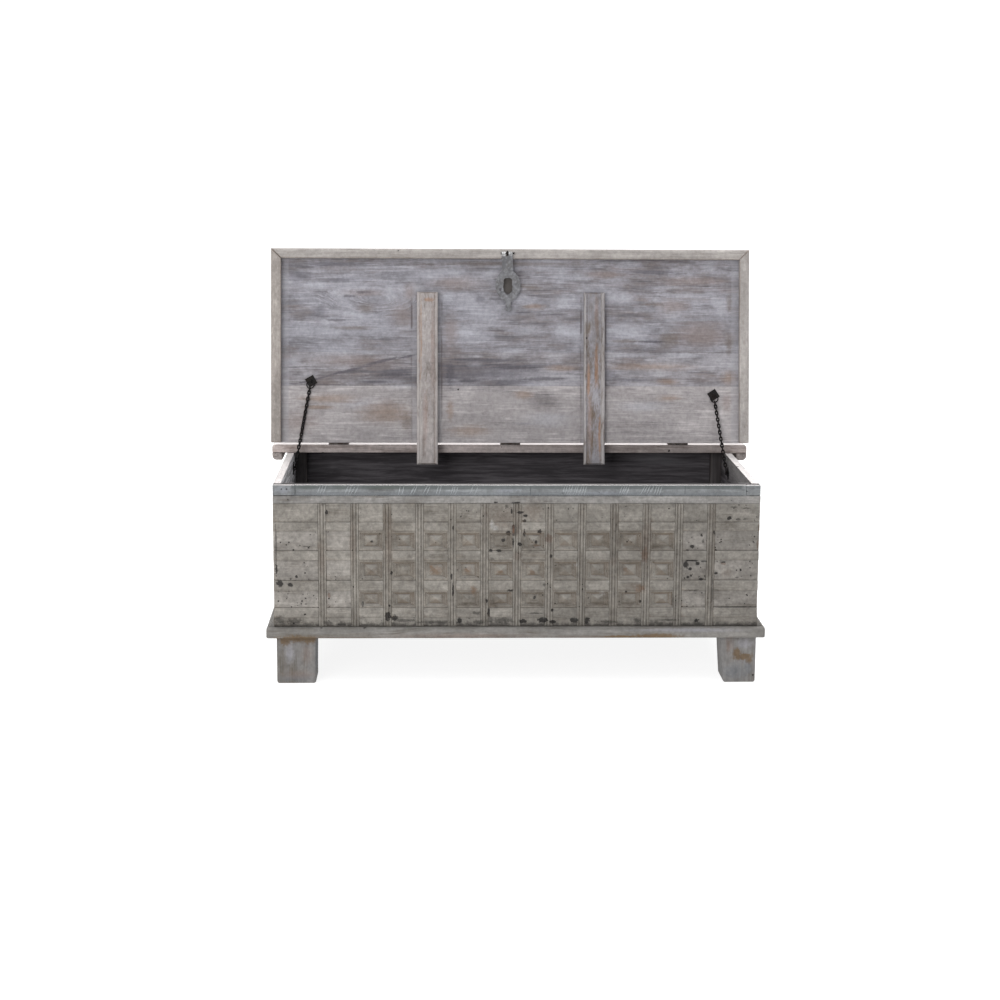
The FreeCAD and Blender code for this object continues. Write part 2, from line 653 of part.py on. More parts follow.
def nail(name, x, y):
    """A nail through a lid plank into a batten, in the lid's frame."""
    head = doc.addObject("Part::Cylinder", f"{name}_head")
    bind(head, Radius="nail_radius", Height="nail_proud")
    seat(head, "box", x, y, LID_OUTSIDE)
    shank = doc.addObject("Part::Cylinder", f"{name}_shank")
    bind(shank, Radius="nail_radius / 2", Height="nail_length")
    seat(shank, "box", x, y, f"{LID_OUTSIDE} - nail_length")
    return join(name, head, shank)


# Two nails to each plank and batten, half way along the plank's part of the batten
nail_edges = plank_edges[:-1] + [f"(-{BATTEN_REACH})"]
nails = []
for side, sign in (("left", -1), ("right", 1)):
    for number, (high, low) in enumerate(zip(nail_edges, nail_edges[1:]), 1):
        for edge in (-1, 1):
            x = f"{sign} * batten_spread + {edge} * batten_width / 4"
            nails.append(nail(f"nail_{side}_{number}_{edge + 2}", x, f"({high} + {low}) / 2"))
keep(seat(group("batten_nails", nails), "lid"))

# Butt hinges: the barrel stands on the hinge axis, with the leaves flat on rail and lid
HINGE_PLACES = {
    "left": f"(hinge_inset_left - {LID_HALF})",
    "middle": "0",
    "right": f"({LID_HALF} - hinge_inset_right)",
}
side_knuckle = "((hinge_width - middle_knuckle) / 2 - fit_gap)"
BORE = "(pin_radius + pin_clearance)"


def hinge_leaf(name, place, on_lid):
    """One leaf with its knuckles, in the hinge's frame."""
    sign = -1 if on_lid else 1
    reach = sorted((f"{sign} * leaf_length", f"{sign} * knuckle_radius"), key=size)
    low = f"({place} - hinge_width / 2)"
    high = f"({place} + hinge_width / 2)"
    plate = block(f"{name}_plate", (low, high), reach, ("-knuckle_radius", "-knuckle_radius + leaf_thick"))
    if on_lid:
        spans = [(f"({place} - middle_knuckle / 2)", "middle_knuckle")]
    else:
        spans = [(low, side_knuckle), (f"({high} - {side_knuckle})", side_knuckle)]
    pieces = [plate]
    web_y = sorted((f"{sign} * knuckle_radius", "0"), key=size)
    web_z = ("-knuckle_radius", "-knuckle_radius + leaf_thick")
    for number, (start, length) in enumerate(spans, 1):
        pieces.append(block(f"{name}_web_{number}", (start, f"{start} + {length}"), web_y, web_z))
        pieces.append(rod(f"{name}_barrel_{number}", "knuckle_radius", length, (start, "0", "0"), ACROSS))
    bore = rod(f"{name}_bore", BORE, "hinge_width + 2 * fit_gap", (f"{low} - fit_gap", "0", "0"), ACROSS)
    return cut(name, join(f"{name}_blank", *pieces), bore)


rail_leaves = [hinge_leaf(f"rail_leaf_{side}", place, False) for side, place in HINGE_PLACES.items()]
lid_leaves = [hinge_leaf(f"lid_leaf_{side}", place, True) for side, place in HINGE_PLACES.items()]
pins = [rod(f"hinge_pin_{side}", "pin_radius", "hinge_width", (f"{place} - hinge_width / 2", "0", "0"), ACROSS)
        for side, place in HINGE_PLACES.items()]
keep(seat(group("hinge_leaves_rail", rail_leaves), "box", "0", HINGE_Y, HINGE_Z))
keep(seat(group("hinge_leaves_lid", lid_leaves), "lid"))
keep(seat(group("hinge_pins", pins), "box", "0", HINGE_Y, HINGE_Z))


def hinge_screws(name, sign):
    """Three screws to a leaf, in the hinge's frame: a low head on the leaf and a shank below it."""
    screws = []
    leaf_top = "(-knuckle_radius + leaf_thick)"
    for side, place in HINGE_PLACES.items():
        for number in (-1, 0, 1):
            x = f"{place} + {number} * (hinge_width / 2 - screw_edge)"
            y = f"{sign} * (leaf_length - screw_edge * {1.5 if number == 0 else 1})"
            head = doc.addObject("Part::Cylinder", f"{name}_{side}_{number + 2}_head")
            bind(head, Radius="screw_radius", Height="screw_head")
            seat(head, "box", x, y, leaf_top)
            shank = doc.addObject("Part::Cylinder", f"{name}_{side}_{number + 2}_shank")
            bind(shank, Radius="screw_shank", Height="screw_length")
            seat(shank, "box", x, y, f"{leaf_top} - screw_length")
            screws.append(join(f"{name}_{side}_{number + 2}", head, shank))
    return group(name, screws)


keep(seat(hinge_screws("hinge_screws_rail", 1), "box", "0", HINGE_Y, HINGE_Z))
keep(seat(hinge_screws("hinge_screws_lid", -1), "lid"))

# Hasp: an eye driven into the front lip, a pin through it, and the leaf that hangs from the pin
eye_bend = "(hasp_pin + pin_clearance + eye_wire)"
eye_loop = doc.addObject("Part::Torus", "hasp_eye_loop")
bind(eye_loop, Radius1=eye_bend, Radius2="eye_wire")
eye_loop.Placement = Placement(Vector(), Rotation(Vector(0, 0, 1), ACROSS))
seat(eye_loop, "box", "-hasp_shift", HASP_PIN_Y, HASP_PIN_Z)
eye_stem = rod("hasp_eye_stem", f"eye_wire * {EYE_STEM_SHARE}", f"eye_shank + hasp_drop - {eye_bend}",
               ("-hasp_shift", HASP_PIN_Y, f"{HASP_PIN_Z} + {eye_bend}"), Vector(0, 0, 1))
keep(seat(join("hasp_eye", eye_loop, eye_stem), "lid"))

# The pin and the leaf hang plumb, so they are placed from the turned pin axis
PIN_WORLD_Y = f"({HINGE_Y} + {HASP_PIN_Y} * cos(lid_open) + {HASP_PIN_Z} * sin(lid_open))"
PIN_WORLD_Z = f"({HINGE_Z} - {HASP_PIN_Y} * sin(lid_open) + {HASP_PIN_Z} * cos(lid_open))"
pin_half = "(strap_width / 2 + hasp_pin_overhang)"
head_thick = "(hasp_pin_overhang / 2)"
pin_bar = rod("hasp_pin_bar", "hasp_pin", f"2 * {pin_half}", (f"-{pin_half}", "0", "0"), ACROSS)
pin_ends = [rod(f"hasp_pin_head_{number}", "pin_head", head_thick, (start, "0", "0"), ACROSS)
            for number, start in ((1, f"-{pin_half}"), (2, f"{pin_half} - {head_thick}"))]
keep(seat(join("hasp_pin", pin_bar, *pin_ends), "box", "-hasp_shift", PIN_WORLD_Y, PIN_WORLD_Z))


def skewed(across, down):
    """A corner of the leaf: the leaf leans a little to one side as it hangs."""
    return (f"{across} + hasp_skew * ({down}) / hasp_length", f"-({down})")


leaf_end = "(hasp_length - tab_length)"
slot_drop = f"(strap_length + ({leaf_end} - strap_length) * {SLOT_PLACE_SHARE})"
nail_hole_drop = f"(strap_length + ({leaf_end} - strap_length) * {NAIL_HOLE_PLACE_SHARE})"
hasp = outline("hasp_plate", "XZ_Plane", [
    skewed("strap_width / 2", "0"),
    skewed("-strap_width / 2", "0"),
    skewed("-strap_width / 2", "strap_length") + ("-leaf_bulge",),
    skewed("-tab_width / 2", leaf_end),
    skewed("-tab_width / 2", "hasp_length"),
    skewed("tab_width / 2", "hasp_length"),
    skewed("tab_width / 2", leaf_end) + ("-leaf_bulge",),
    skewed("strap_width / 2", "strap_length"),
], "hasp_thick", "-hasp_thick / 2")
slot_x = f"hasp_skew * {slot_drop} / hasp_length"
slot = outline("hasp_slot", "XZ_Plane", [
    (f"{slot_x} - slot_width / 2", f"-{slot_drop} - slot_height / 2"),
    (f"{slot_x} + slot_width / 2", f"-{slot_drop} - slot_height / 2"),
    (f"{slot_x} + slot_width / 2", f"-{slot_drop} + slot_height / 2"),
    (f"{slot_x} - slot_width / 2", f"-{slot_drop} + slot_height / 2"),
], "3 * hasp_thick", "-1.5 * hasp_thick")
soften(slot, "slot_round", lambda edge: along(edge, "y"))
hole = rod("hasp_nail_hole", "nail_hole", "2 * hasp_thick",
           ("-nail_hole_shift", "-hasp_thick", f"-{nail_hole_drop}"), INWARD)
roll = rod("hasp_leaf_roll", "hasp_roll", "strap_width", ("-strap_width / 2", "0", "0"), ACROSS)
roll_bore = rod("hasp_leaf_bore", "hasp_pin + pin_clearance", "2 * strap_width",
                ("-strap_width", "0", "0"), ACROSS)
eye_room = "(eye_wire + fit_gap)"
eye_reach = "(hasp_pin + pin_clearance + 2 * eye_wire + fit_gap)"
eye_notch = rod("hasp_eye_notch", eye_reach, f"2 * {eye_room}", (f"-{eye_room}", "0", "0"), ACROSS)
leaf = cut("hasp_leaf", join("hasp_leaf_blank", hasp, roll), slot, hole, roll_bore, eye_notch)
# The lid leans back past plumb, so the leaf's tip comes just short of the panel
hasp_reach = "(lip_hang + hasp_drop - hasp_thick / 2 - hasp_tip_gap)"
hasp_tilt = f"lid_open - 90 - asin({hasp_reach} / hasp_length) / 1 deg"
leaf.Placement = Placement(Vector(), Rotation(Vector(-1, 0, 0), size(hasp_tilt)))
leaf.setExpression("Placement.Rotation.Angle", formula(hasp_tilt))
keep(seat(leaf, "box", "-hasp_shift", PIN_WORLD_Y, PIN_WORLD_Z))

# Staple on the front, where the slot comes when the lid is shut
STAPLE_Z = f"({HINGE_Z} + {HASP_PIN_Z} - {slot_drop})"
STAPLE_NOSE = "(staple_spread / 2)"
leg_start = f"(-staple_reach + staple_bar + {STAPLE_NOSE})"
legs = [rod(f"staple_leg_{number}", "staple_bar", f"staple_sink - {leg_start}",
            ("0", leg_start, f"{sign} * {STAPLE_NOSE}"), INWARD) for number, sign in ((1, -1), (2, 1))]
nose = doc.addObject("Part::Torus", "staple_nose")
bind(nose, Radius1=STAPLE_NOSE, Radius2="staple_bar")
# The torus's half circle is taken on the front side of the legs' ends
nose.Angle3 = 180
nose.Placement = Placement(Vector(), Rotation(Vector(0, 1, 0), -90) * Rotation(Vector(0, 0, 1), 180))
seat(nose, "box", "0", leg_start, "0")
keep(seat(join("hasp_staple", nose, *legs), "box", "-hasp_shift", FRONT, STAPLE_Z))


# Chains
def lid_point(x, y, z):
    """A point of the lid's frame, given in numbers, at the open pose."""
    turn = Rotation(Vector(-1, 0, 0), size("lid_open"))
    return Vector(0, size(HINGE_Y), size(HINGE_Z)) + turn.multVec(Vector(x, y, z))


def chain_plate(name, turn):
    """A square plate with a standing eye: flat on the XY plane, its eye across the X axis."""
    plate = doc.addObject("Part::Box", f"{name}_plate")
    bind(plate, Length="plate_side", Width="plate_side", Height="plate_thick")
    spun = Rotation(Vector(0, 0, 1), size(turn))
    half_side = size("plate_side / 2")
    plate.Placement = Placement(spun.multVec(Vector(-half_side, -half_side, 0)), spun)
    eye = doc.addObject("Part::Torus", f"{name}_eye")
    bind(eye, Radius1="plate_eye", Radius2="plate_eye_wire")
    eye.Placement = Placement(Vector(), Rotation(Vector(0, 0, 1), Vector(1, 0, 0)))
    seat(eye, "box", "0", "0", "plate_thick + plate_eye_lift")
    trim = doc.addObject("Part::Box", f"{name}_trim")
    bind(trim, Length="2 * plate_side", Width="2 * plate_side", Height="plate_side")
    seat(trim, "box", "-plate_side", "-plate_side", "-plate_side")
    return cut(name, join(f"{name}_blank", plate, eye), trim)


def place_plate(plate, centre, normal, towards):
    """Stand a plate at a point, facing the normal, its eye open across the line to the chain."""
    across = towards.cross(normal).normalize()
    up = normal.cross(across)
    plate.Placement = Placement(centre, Rotation(across, up, normal, "ZXY"))


def link_shape():
    """One oval link about the origin, its length along Z and its face across X."""
    wire = size("link_wire")
    half_length = size("link_length") / 2 - wire
    bend = size("link_width") / 2 - wire
    straight = half_length - bend
    corners = [Vector(0, bend, -straight), Vector(0, bend, straight), Vector(0, 0, half_length),
               Vector(0, -bend, straight), Vector(0, -bend, -straight), Vector(0, 0, -half_length)]
    path = Part.Wire([Part.LineSegment(corners[0], corners[1]).toShape(),
                      Part.Arc(corners[1], corners[2], corners[3]).toShape(),
                      Part.LineSegment(corners[3], corners[4]).toShape(),
                      Part.Arc(corners[4], corners[5], corners[0]).toShape()])
    section = Part.Wire(Part.Circle(corners[0], Vector(0, 0, 1), wire).toShape())
    return path.makePipeShell([section], True, False)


def ring_shape(centre, run, across):
    """A ring through a plate's eye, lying along the chain."""
    return Part.makeTorus(size("ring_radius"), size("ring_wire"), centre, run.cross(across))


def hang_chain(side):
    """Plates, rings and links of one chain; the chain is straight because it carries the lid."""
    sign = -1 if side == "left" else 1
    up = size(f"{side}_plate_up")
    across_lid = sign * size(f"{INNER} - {side}_plate_inset")
    lid_normal = lid_point(0, 0, -1) - lid_point(0, 0, 0)
    lid_seat = lid_point(across_lid, -up, size(LID_INSIDE))
    wall_seat = Vector(sign * size(INNER), size(f"{REAR} - {side}_anchor_forward"),
                       size(f"{TOP} - {side}_anchor_drop"))
    wall_normal = Vector(-sign, 0, 0)
    standoff = size("plate_thick + ring_seat")
    lid_eye = lid_seat + lid_normal * standoff
    wall_eye = wall_seat + wall_normal * standoff
    run = (wall_eye - lid_eye).normalize()
    lid_across = run.cross(lid_normal).normalize()
    wall_across = run.cross(wall_normal).normalize()
    reach = size("ring_radius")
    lid_ring = ring_shape(lid_eye + run * reach, run, lid_across)
    wall_ring = ring_shape(wall_eye - run * reach, run, wall_across)
    # Links: the first hooks on the lid's ring and the last on the wall's ring
    hook = size("link_length / 2 - link_wire - (link_wire + ring_wire + link_gap)")
    first = lid_eye + run * (2 * reach + hook)
    last = wall_eye - run * (2 * reach + hook)
    longest_pitch = size("link_length - 4 * link_wire - link_gap")
    steps = math.ceil((last - first).Length / longest_pitch)
    link = link_shape()
    twist = math.degrees(math.atan2(run.dot(lid_across.cross(wall_across)), lid_across.dot(wall_across)))
    # Each link stands a quarter turn from the last, and a slow drift brings the end one square to its ring
    drift = (twist - steps * 90 + 90) % 180 - 90
    links = []
    for number in range(steps + 1):
        share = number / steps
        face = Rotation(run, number * 90 + share * drift).multVec(lid_across)
        turned = Rotation(face, run.cross(face), run, "ZXY")
        here = link.copy()
        here.Placement = Placement(first + (last - first) * share, turned)
        links.append(here)
    print(f"{side} chain: {len(links)} links, pitch {(last - first).Length / steps:.2f} mm")
    chain = doc.addObject("Part::Feature", f"chain_{side}")
    chain.Shape = Part.makeCompound(links)
    keep(chain)
    lid_plate = chain_plate(f"lid_chain_plate_{side}", f"{side}_plate_turn")
    wall_plate = chain_plate(f"wall_chain_plate_{side}", "wall_plate_turn")
    place_plate(lid_plate, lid_seat, lid_normal, run)
    place_plate(wall_plate, wall_seat, wall_normal, -run)
    return lid_plate, wall_plate, lid_ring, wall_ring


sets = [hang_chain(side) for side in ("left", "right")]
keep(group("lid_chain_plates", [parts[0] for parts in sets]))
keep(group("wall_chain_plates", [parts[1] for parts in sets]))
for name, index in (("lid_chain_rings", 2), ("wall_chain_rings", 3)):
    rings = doc.addObject("Part::Feature", name)
    rings.Shape = Part.makeCompound([parts[index] for parts in sets])
    keep(rings)

doc.recompute()

# Each object must be whole before anything is written
for item in doc.Objects:
    if "Invalid" in item.State or "Error" in item.State:
        raise RuntimeError(f"{item.Label} did not recompute: {item.State}")
for piece in NODES:
    if piece.Shape.isNull() or not piece.Shape.isValid() or not piece.Shape.Solids:
        raise RuntimeError(f"{piece.Label} has no valid solid")

os.makedirs("parts", exist_ok=True)
for piece in NODES:
    piece.Shape.exportStep(f"parts/{piece.Label}.step")
print(len(NODES), "nodes,", sum(len(piece.Shape.Solids) for piece in NODES), "solids")
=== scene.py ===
# %% [markdown]
# # A limewashed carved chest with its lid open
# The chest is a low wooden trunk. Its planks, rails, mouldings and iron fittings come from the part's own
# solids, which are loaded first and never moved. What this lesson adds is the hand of the maker and of time:
# edges rounded by wear, cut strokes, hammered iron, real chain links, and paint rubbed thin.

# %% Load the frame
import math
import random

import bpy
from mathutils import Matrix, Quaternion, Vector


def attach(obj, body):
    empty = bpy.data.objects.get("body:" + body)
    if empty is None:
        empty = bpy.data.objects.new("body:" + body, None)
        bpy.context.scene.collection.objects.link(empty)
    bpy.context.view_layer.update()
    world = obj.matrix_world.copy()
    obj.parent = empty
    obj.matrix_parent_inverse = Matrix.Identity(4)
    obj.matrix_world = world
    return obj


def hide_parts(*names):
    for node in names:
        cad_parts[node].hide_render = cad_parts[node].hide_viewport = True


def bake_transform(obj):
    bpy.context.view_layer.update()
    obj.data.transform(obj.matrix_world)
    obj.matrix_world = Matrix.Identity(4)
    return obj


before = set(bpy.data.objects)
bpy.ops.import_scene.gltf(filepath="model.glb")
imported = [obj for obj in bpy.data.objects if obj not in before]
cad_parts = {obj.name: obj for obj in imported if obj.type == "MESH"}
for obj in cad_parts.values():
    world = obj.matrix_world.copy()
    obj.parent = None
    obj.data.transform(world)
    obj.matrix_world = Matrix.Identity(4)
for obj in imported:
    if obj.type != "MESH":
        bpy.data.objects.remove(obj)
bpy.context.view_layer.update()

scene = bpy.context.scene
MM = 0.001

# %% [markdown]
# ## Camera
# The chest was pictured from a little above and a little to its left, from almost five metres away, with a
# long lens. A long lens keeps upright edges upright. The camera's turn, tip and roll were worked out by
# matching the corners of the lid, rail, box and feet, so the corners fall where they do in the picture.

# %% Camera
LENS_MM = 71.555
CAMERA_PLACE = Vector((-0.18584, -4.78691, 1.27720))
YAW, PITCH, ROLL = (math.radians(a) for a in (1.8565, 10.5899, 0.3619))
ahead = Vector((math.sin(YAW) * math.cos(PITCH), math.cos(YAW) * math.cos(PITCH), -math.sin(PITCH)))
level = Vector((math.cos(YAW), -math.sin(YAW), 0))
upward = level.cross(ahead)
to_right = level * math.cos(ROLL) + upward * math.sin(ROLL)
to_top = upward * math.cos(ROLL) - level * math.sin(ROLL)
camera = bpy.data.objects.new("camera", bpy.data.cameras.new("camera"))
camera.matrix_world = Matrix.Translation(CAMERA_PLACE) @ Matrix((to_right, to_top,
                                                                 -ahead)).transposed().to_4x4()
camera.data.lens = LENS_MM
camera.data.sensor_width = 36
scene.collection.objects.link(camera)
scene.camera = camera
print("camera", [round(v, 3) for v in camera.location], "lens", LENS_MM, "mm")

# %% [markdown]
# ## Floor and light
# The chest stands on a pale floor in a white studio. The light is soft and comes mostly from above, like a
# large diffuser: a lamp as wide as half the sky makes the top edges the brightest part and leaves the upright
# faces in gentle shade, which is how limewash shows its chalky look best. A second one behind lights the rail
# through the gap under the lid, and one in front, to the left, reaches into the box and lights the carving
# from the side. The white backdrop is brighter to the camera than it is to the chest, and the floor glows a
# little, like a lit table, so that only a faint shadow is left under the chest.

# %% Floor and light
def select_only(*pieces):
    """Selects these pieces and nothing else, and makes the first one active."""
    bpy.ops.object.select_all(action="DESELECT")
    for piece in pieces:
        piece.select_set(True)
    bpy.context.view_layer.objects.active = pieces[0]


bpy.ops.object.select_all(action="DESELECT")
bpy.ops.mesh.primitive_plane_add(size=60, location=(0, 0, 0))
floor = bpy.context.object
floor.name = "floor"
FLOOR_GLOW = 0.86
floor_paint = bpy.data.materials.new("floor_paint")
floor_paint.use_nodes = True
for label, value in (("Base Color", (0.30, 0.30, 0.30, 1)), ("Roughness", 0.9),
                     ("Emission Color", (1, 1, 1, 1)), ("Emission Strength", FLOOR_GLOW)):
    floor_paint.node_tree.nodes["Principled BSDF"].inputs[label].default_value = value
floor.data.materials.append(floor_paint)

BACKDROP_WHITE, SKY_LIGHT = 1.08, 0.30
sky = bpy.data.worlds.new("sky")
sky.use_nodes = True
sky_nodes, sky_links = sky.node_tree.nodes, sky.node_tree.links
faint = sky_nodes["Background"]
faint.inputs["Color"].default_value = (0.94, 0.97, 1.0, 1)
faint.inputs["Strength"].default_value = SKY_LIGHT
white = sky_nodes.new("ShaderNodeBackground")
white.inputs["Color"].default_value = (1, 1, 1, 1)
white.inputs["Strength"].default_value = BACKDROP_WHITE
either = sky_nodes.new("ShaderNodeMixShader")
sky_links.new(sky_nodes.new("ShaderNodeLightPath").outputs["Is Camera Ray"], either.inputs[0])
sky_links.new(faint.outputs[0], either.inputs[1])
sky_links.new(white.outputs[0], either.inputs[2])
sky_links.new(either.outputs[0], sky_nodes["World Output"].inputs[0])
scene.world = sky
scene.view_settings.view_transform = "Standard"


def lamp(name, kind, place, target, energy, **settings):
    """A lamp at a place, facing a target."""
    made = bpy.data.objects.new(name, bpy.data.lights.new(name, kind))
    made.data.energy = energy
    for key, value in settings.items():
        setattr(made.data, key, value)
    made.location = place
    made.rotation_mode = "QUATERNION"
    made.rotation_quaternion = (Vector(target) - Vector(place)).to_track_quat("-Z", "Y")
    scene.collection.objects.link(made)


lamp("diffuser", "SUN", (-0.5, -0.7, 4), (0, 0, 0), 2.0, angle=math.radians(85))
lamp("behind", "SUN", (0.4, 1.6, 2.4), (0, 0, 0), 3.0, angle=math.radians(50))
lamp("front_left", "AREA", (-2.2, -5.0, 1.9), (0, 0, 0.45), 104, shape="SQUARE", size=2.6)

# %% [markdown]
# ## A bench for shader nodes
# Old paint on old wood is many thin effects on top of each other. This helper adds a node and joins its
# inputs in one line, so that each finish below reads as a recipe.

# %% The bench
class Bench:
    """Short ways to add and join nodes in one node tree."""

    def __init__(self, tree):
        self.tree = tree

    def add(self, kind, inputs=None, **settings):
        made = self.tree.nodes.new("ShaderNode" + kind)
        for key, value in settings.items():
            setattr(made, key, value)
        return self.fill(made, inputs or {})

    def fill(self, node, values):
        """Joins or sets inputs of a node."""
        for key, value in values.items():
            if isinstance(value, bpy.types.NodeSocket):
                self.tree.links.new(value, node.inputs[key])
            else:
                node.inputs[key].default_value = value
        return node

    def math(self, operation, a, b=0.0, clamp=False):
        return self.add("Math", {0: a, 1: b}, operation=operation, use_clamp=clamp).outputs[0]

    def times(self, a, b):
        return self.math("MULTIPLY", a, b)

    def plus(self, a, b):
        return self.math("ADD", a, b)

    def minus(self, a, b, clamp=False):
        return self.math("SUBTRACT", a, b, clamp)

    def line(self, value, slope, start):
        """The value times a slope, plus a start."""
        return self.add("Math", {0: value, 1: slope, 2: start}, operation="MULTIPLY_ADD").outputs[0]

    def vector(self, operation, a, b):
        return self.add("VectorMath", {0: a, 1: b}, operation=operation).outputs[0]

    def length(self, vector):
        return self.add("VectorMath", {0: vector}, operation="LENGTH").outputs["Value"]

    def scaled(self, tint, by):
        return self.add("VectorMath", {0: tint, "Scale": by}, operation="SCALE").outputs[0]

    def normal(self):
        return self.add("NewGeometry").outputs["Normal"]

    def between(self, value, low, high, to_low=0.0, to_high=1.0):
        """The value carried smoothly from low..high to to_low..to_high."""
        made = self.add("MapRange", {"Value": value, 1: low, 2: high, 3: to_low, 4: to_high},
                        interpolation_type="SMOOTHSTEP")
        return made.outputs[0]

    def mix(self, share, a, b, blend="MIX"):
        made = self.add("Mix", {0: share, 6: a, 7: b}, data_type="RGBA", blend_type=blend)
        return made.outputs[2]

    def tint(self, painted, mask, strength, rgb):
        """The paint with a tint laid over it where a mask is, up to a strength."""
        return self.mix(self.times(mask, strength), painted, (*rgb, 1))

    def blur(self, share, a, b):
        """A plain number between a and b."""
        return self.add("Mix", {0: share, 2: a, 3: b}, data_type="FLOAT").outputs[0]

    def place(self, vector, shift=(0, 0, 0), turn=(0, 0, 0), scale=(1, 1, 1)):
        return self.add("Mapping", {0: vector, 1: shift, 2: turn, 3: scale}).outputs[0]

    def noise(self, vector, scale=1.0, detail=2.0, rough=0.5, distortion=0.0):
        return self.add("TexNoise", {"Vector": vector, "Scale": scale, "Detail": detail,
                                     "Roughness": rough, "Distortion": distortion})

    def cells(self, vector, scale=1.0, randomness=1.0):
        return self.add("TexVoronoi", {"Vector": vector, "Scale": scale, "Randomness": randomness})

    def axis(self, vector, which):
        return self.add("SeparateXYZ", {0: vector}).outputs[which]

    def group(self, name, inputs):
        made = self.tree.nodes.new("ShaderNodeGroup")
        made.node_tree = bpy.data.node_groups[name]
        return self.fill(made, inputs)


def start_group(name, inputs, outputs):
    """A new shader group with named sockets; returns its bench, its input node and its output node."""
    tree = bpy.data.node_groups.new(name, "ShaderNodeTree")
    for label, kind, value in inputs:
        socket = tree.interface.new_socket(label, in_out="INPUT", socket_type=kind)
        if value is not None:
            socket.default_value = value
    for label, kind in outputs:
        tree.interface.new_socket(label, in_out="OUTPUT", socket_type=kind)
    bench = Bench(tree)
    return bench, tree.nodes.new("NodeGroupInput"), tree.nodes.new("NodeGroupOutput")


FLOAT, VECTOR = "NodeSocketFloat", "NodeSocketVector"
print("bench ready")

# %% [markdown]
# ## Wood grain
# Grain is the same pattern at three sizes: hair-thin fibres, streaks a finger wide, and the long nested arcs
# that a saw leaves when it passes the rings of the tree. All are noise stretched along the plank, here along
# X, and the arcs wander a little. Knots are rare round cells that push the arcs aside.

# %% Grain group
bench, given, out = start_group(
    "wood_grain",
    [("Vector", VECTOR, None), ("Seed", FLOAT, 0.0)],
    [("Fibre", FLOAT), ("Streak", FLOAT), ("Broad", FLOAT), ("Figure", FLOAT), ("Knot", FLOAT)])
seed_shift = bench.add("CombineXYZ", {0: bench.times(given.outputs["Seed"], 3.17),
                                      1: bench.times(given.outputs["Seed"], 1.73),
                                      2: bench.times(given.outputs["Seed"], 2.31)}).outputs[0]
moved = bench.vector("ADD", given.outputs["Vector"], seed_shift)
wander = bench.noise(bench.place(moved, scale=(3.0, 6.0, 6.0)), 1.0, 2.0).outputs["Color"]
wander = bench.vector("SUBTRACT", wander, (0.5, 0.5, 0.5))
wander = bench.vector("MULTIPLY", wander, (0.0, 0.035, 0.035))
flowing = bench.vector("ADD", moved, wander)
knot_cell = bench.cells(bench.place(flowing, scale=(4.5, 9.5, 9.5)))
rare = bench.between(bench.axis(knot_cell.outputs["Color"], 0), 0.78, 0.82)
knot = bench.times(bench.between(knot_cell.outputs["Distance"], 0.30, 0.04), rare)
fibre = bench.noise(bench.place(flowing, scale=(22, 560, 560)), 1.0, 2.0, 0.6).outputs[0]
streak = bench.noise(bench.place(flowing, scale=(6.5, 135, 135)), 1.0, 4.0, 0.68).outputs[0]
broad = bench.noise(bench.place(flowing, scale=(1.7, 17, 17)), 1.0, 3.0, 0.55).outputs[0]
phase = bench.plus(bench.times(broad, 34.0), bench.times(knot, 8.0))
figure = bench.line(bench.math("SINE", phase), 0.5, 0.5)
for label, value in (("Fibre", fibre), ("Streak", streak), ("Broad", broad), ("Figure", figure),
                     ("Knot", knot)):
    bench.tree.links.new(value, out.inputs[label])
print("grain group with", len(bench.tree.nodes), "nodes")

# %% [markdown]
# ## Worn edges, and dirt and painted shade in corners
# Hands and brooms rub the paint off every outer edge, and dust settles in every inner corner. A bevelled
# normal differs from the true one only near an edge, and ambient occlusion is dark only in a corner, so the
# corner mask paints dirt and shade together. Noise breaks both up, because no edge wears evenly.

# %% Edge wear group
bench, given, out = start_group("edge_wear", [("Vector", VECTOR, None), ("Radius", FLOAT, 0.003),
                                              ("Amount", FLOAT, 0.5)], [("Mask", FLOAT)])
soft_normal = bench.add("Bevel", {"Radius": given.outputs["Radius"]}, samples=4).outputs[0]
true_normal = bench.normal()
likeness = bench.add("VectorMath", {0: soft_normal, 1: true_normal}, operation="DOT_PRODUCT").outputs["Value"]
edge = bench.between(likeness, 0.995, 0.84)
rub = bench.noise(bench.place(given.outputs["Vector"], scale=(38, 38, 38)), 1.0, 3.0, 0.65).outputs[0]
rubbed = bench.plus(rub, bench.minus(given.outputs["Amount"], 0.5))
bench.fill(out, {"Mask": bench.times(edge, bench.between(rubbed, 0.38, 0.62))})

# %% Corner dirt and painted shade group
bench, given, out = start_group(
    "corner_dirt_and_shade",
    [("Vector", VECTOR, None), ("Reach", FLOAT, 0.012), ("Amount", FLOAT, 0.5), ("Full", FLOAT, 0.62)],
    [("Mask", FLOAT)])
# Ambient occlusion darkens the inner corners: dirt and painted shade in one mask
hollow = bench.add("AmbientOcclusion", {"Distance": given.outputs["Reach"]}, samples=6, only_local=True)
depth = bench.minus(1.0, hollow.outputs["AO"])
patchy = bench.noise(bench.place(given.outputs["Vector"], scale=(22, 22, 22)), 1.0, 2.0).outputs[0]
dirt_and_shade = bench.times(depth, bench.plus(patchy, given.outputs["Amount"]))
bench.fill(out, {"Mask": bench.between(dirt_and_shade, 0.08, given.outputs["Full"])})

# %% [markdown]
# ## Limewash
# Limewash is thin chalky paint. It fills the pores, lies thick in some places and is sanded through in
# others, most of all where the grain stands up. The first group says how much of it is left at each point,
# and where the last dry brush strokes lie on top. The second breaks any colour into small uneven spots, as
# old paint has.

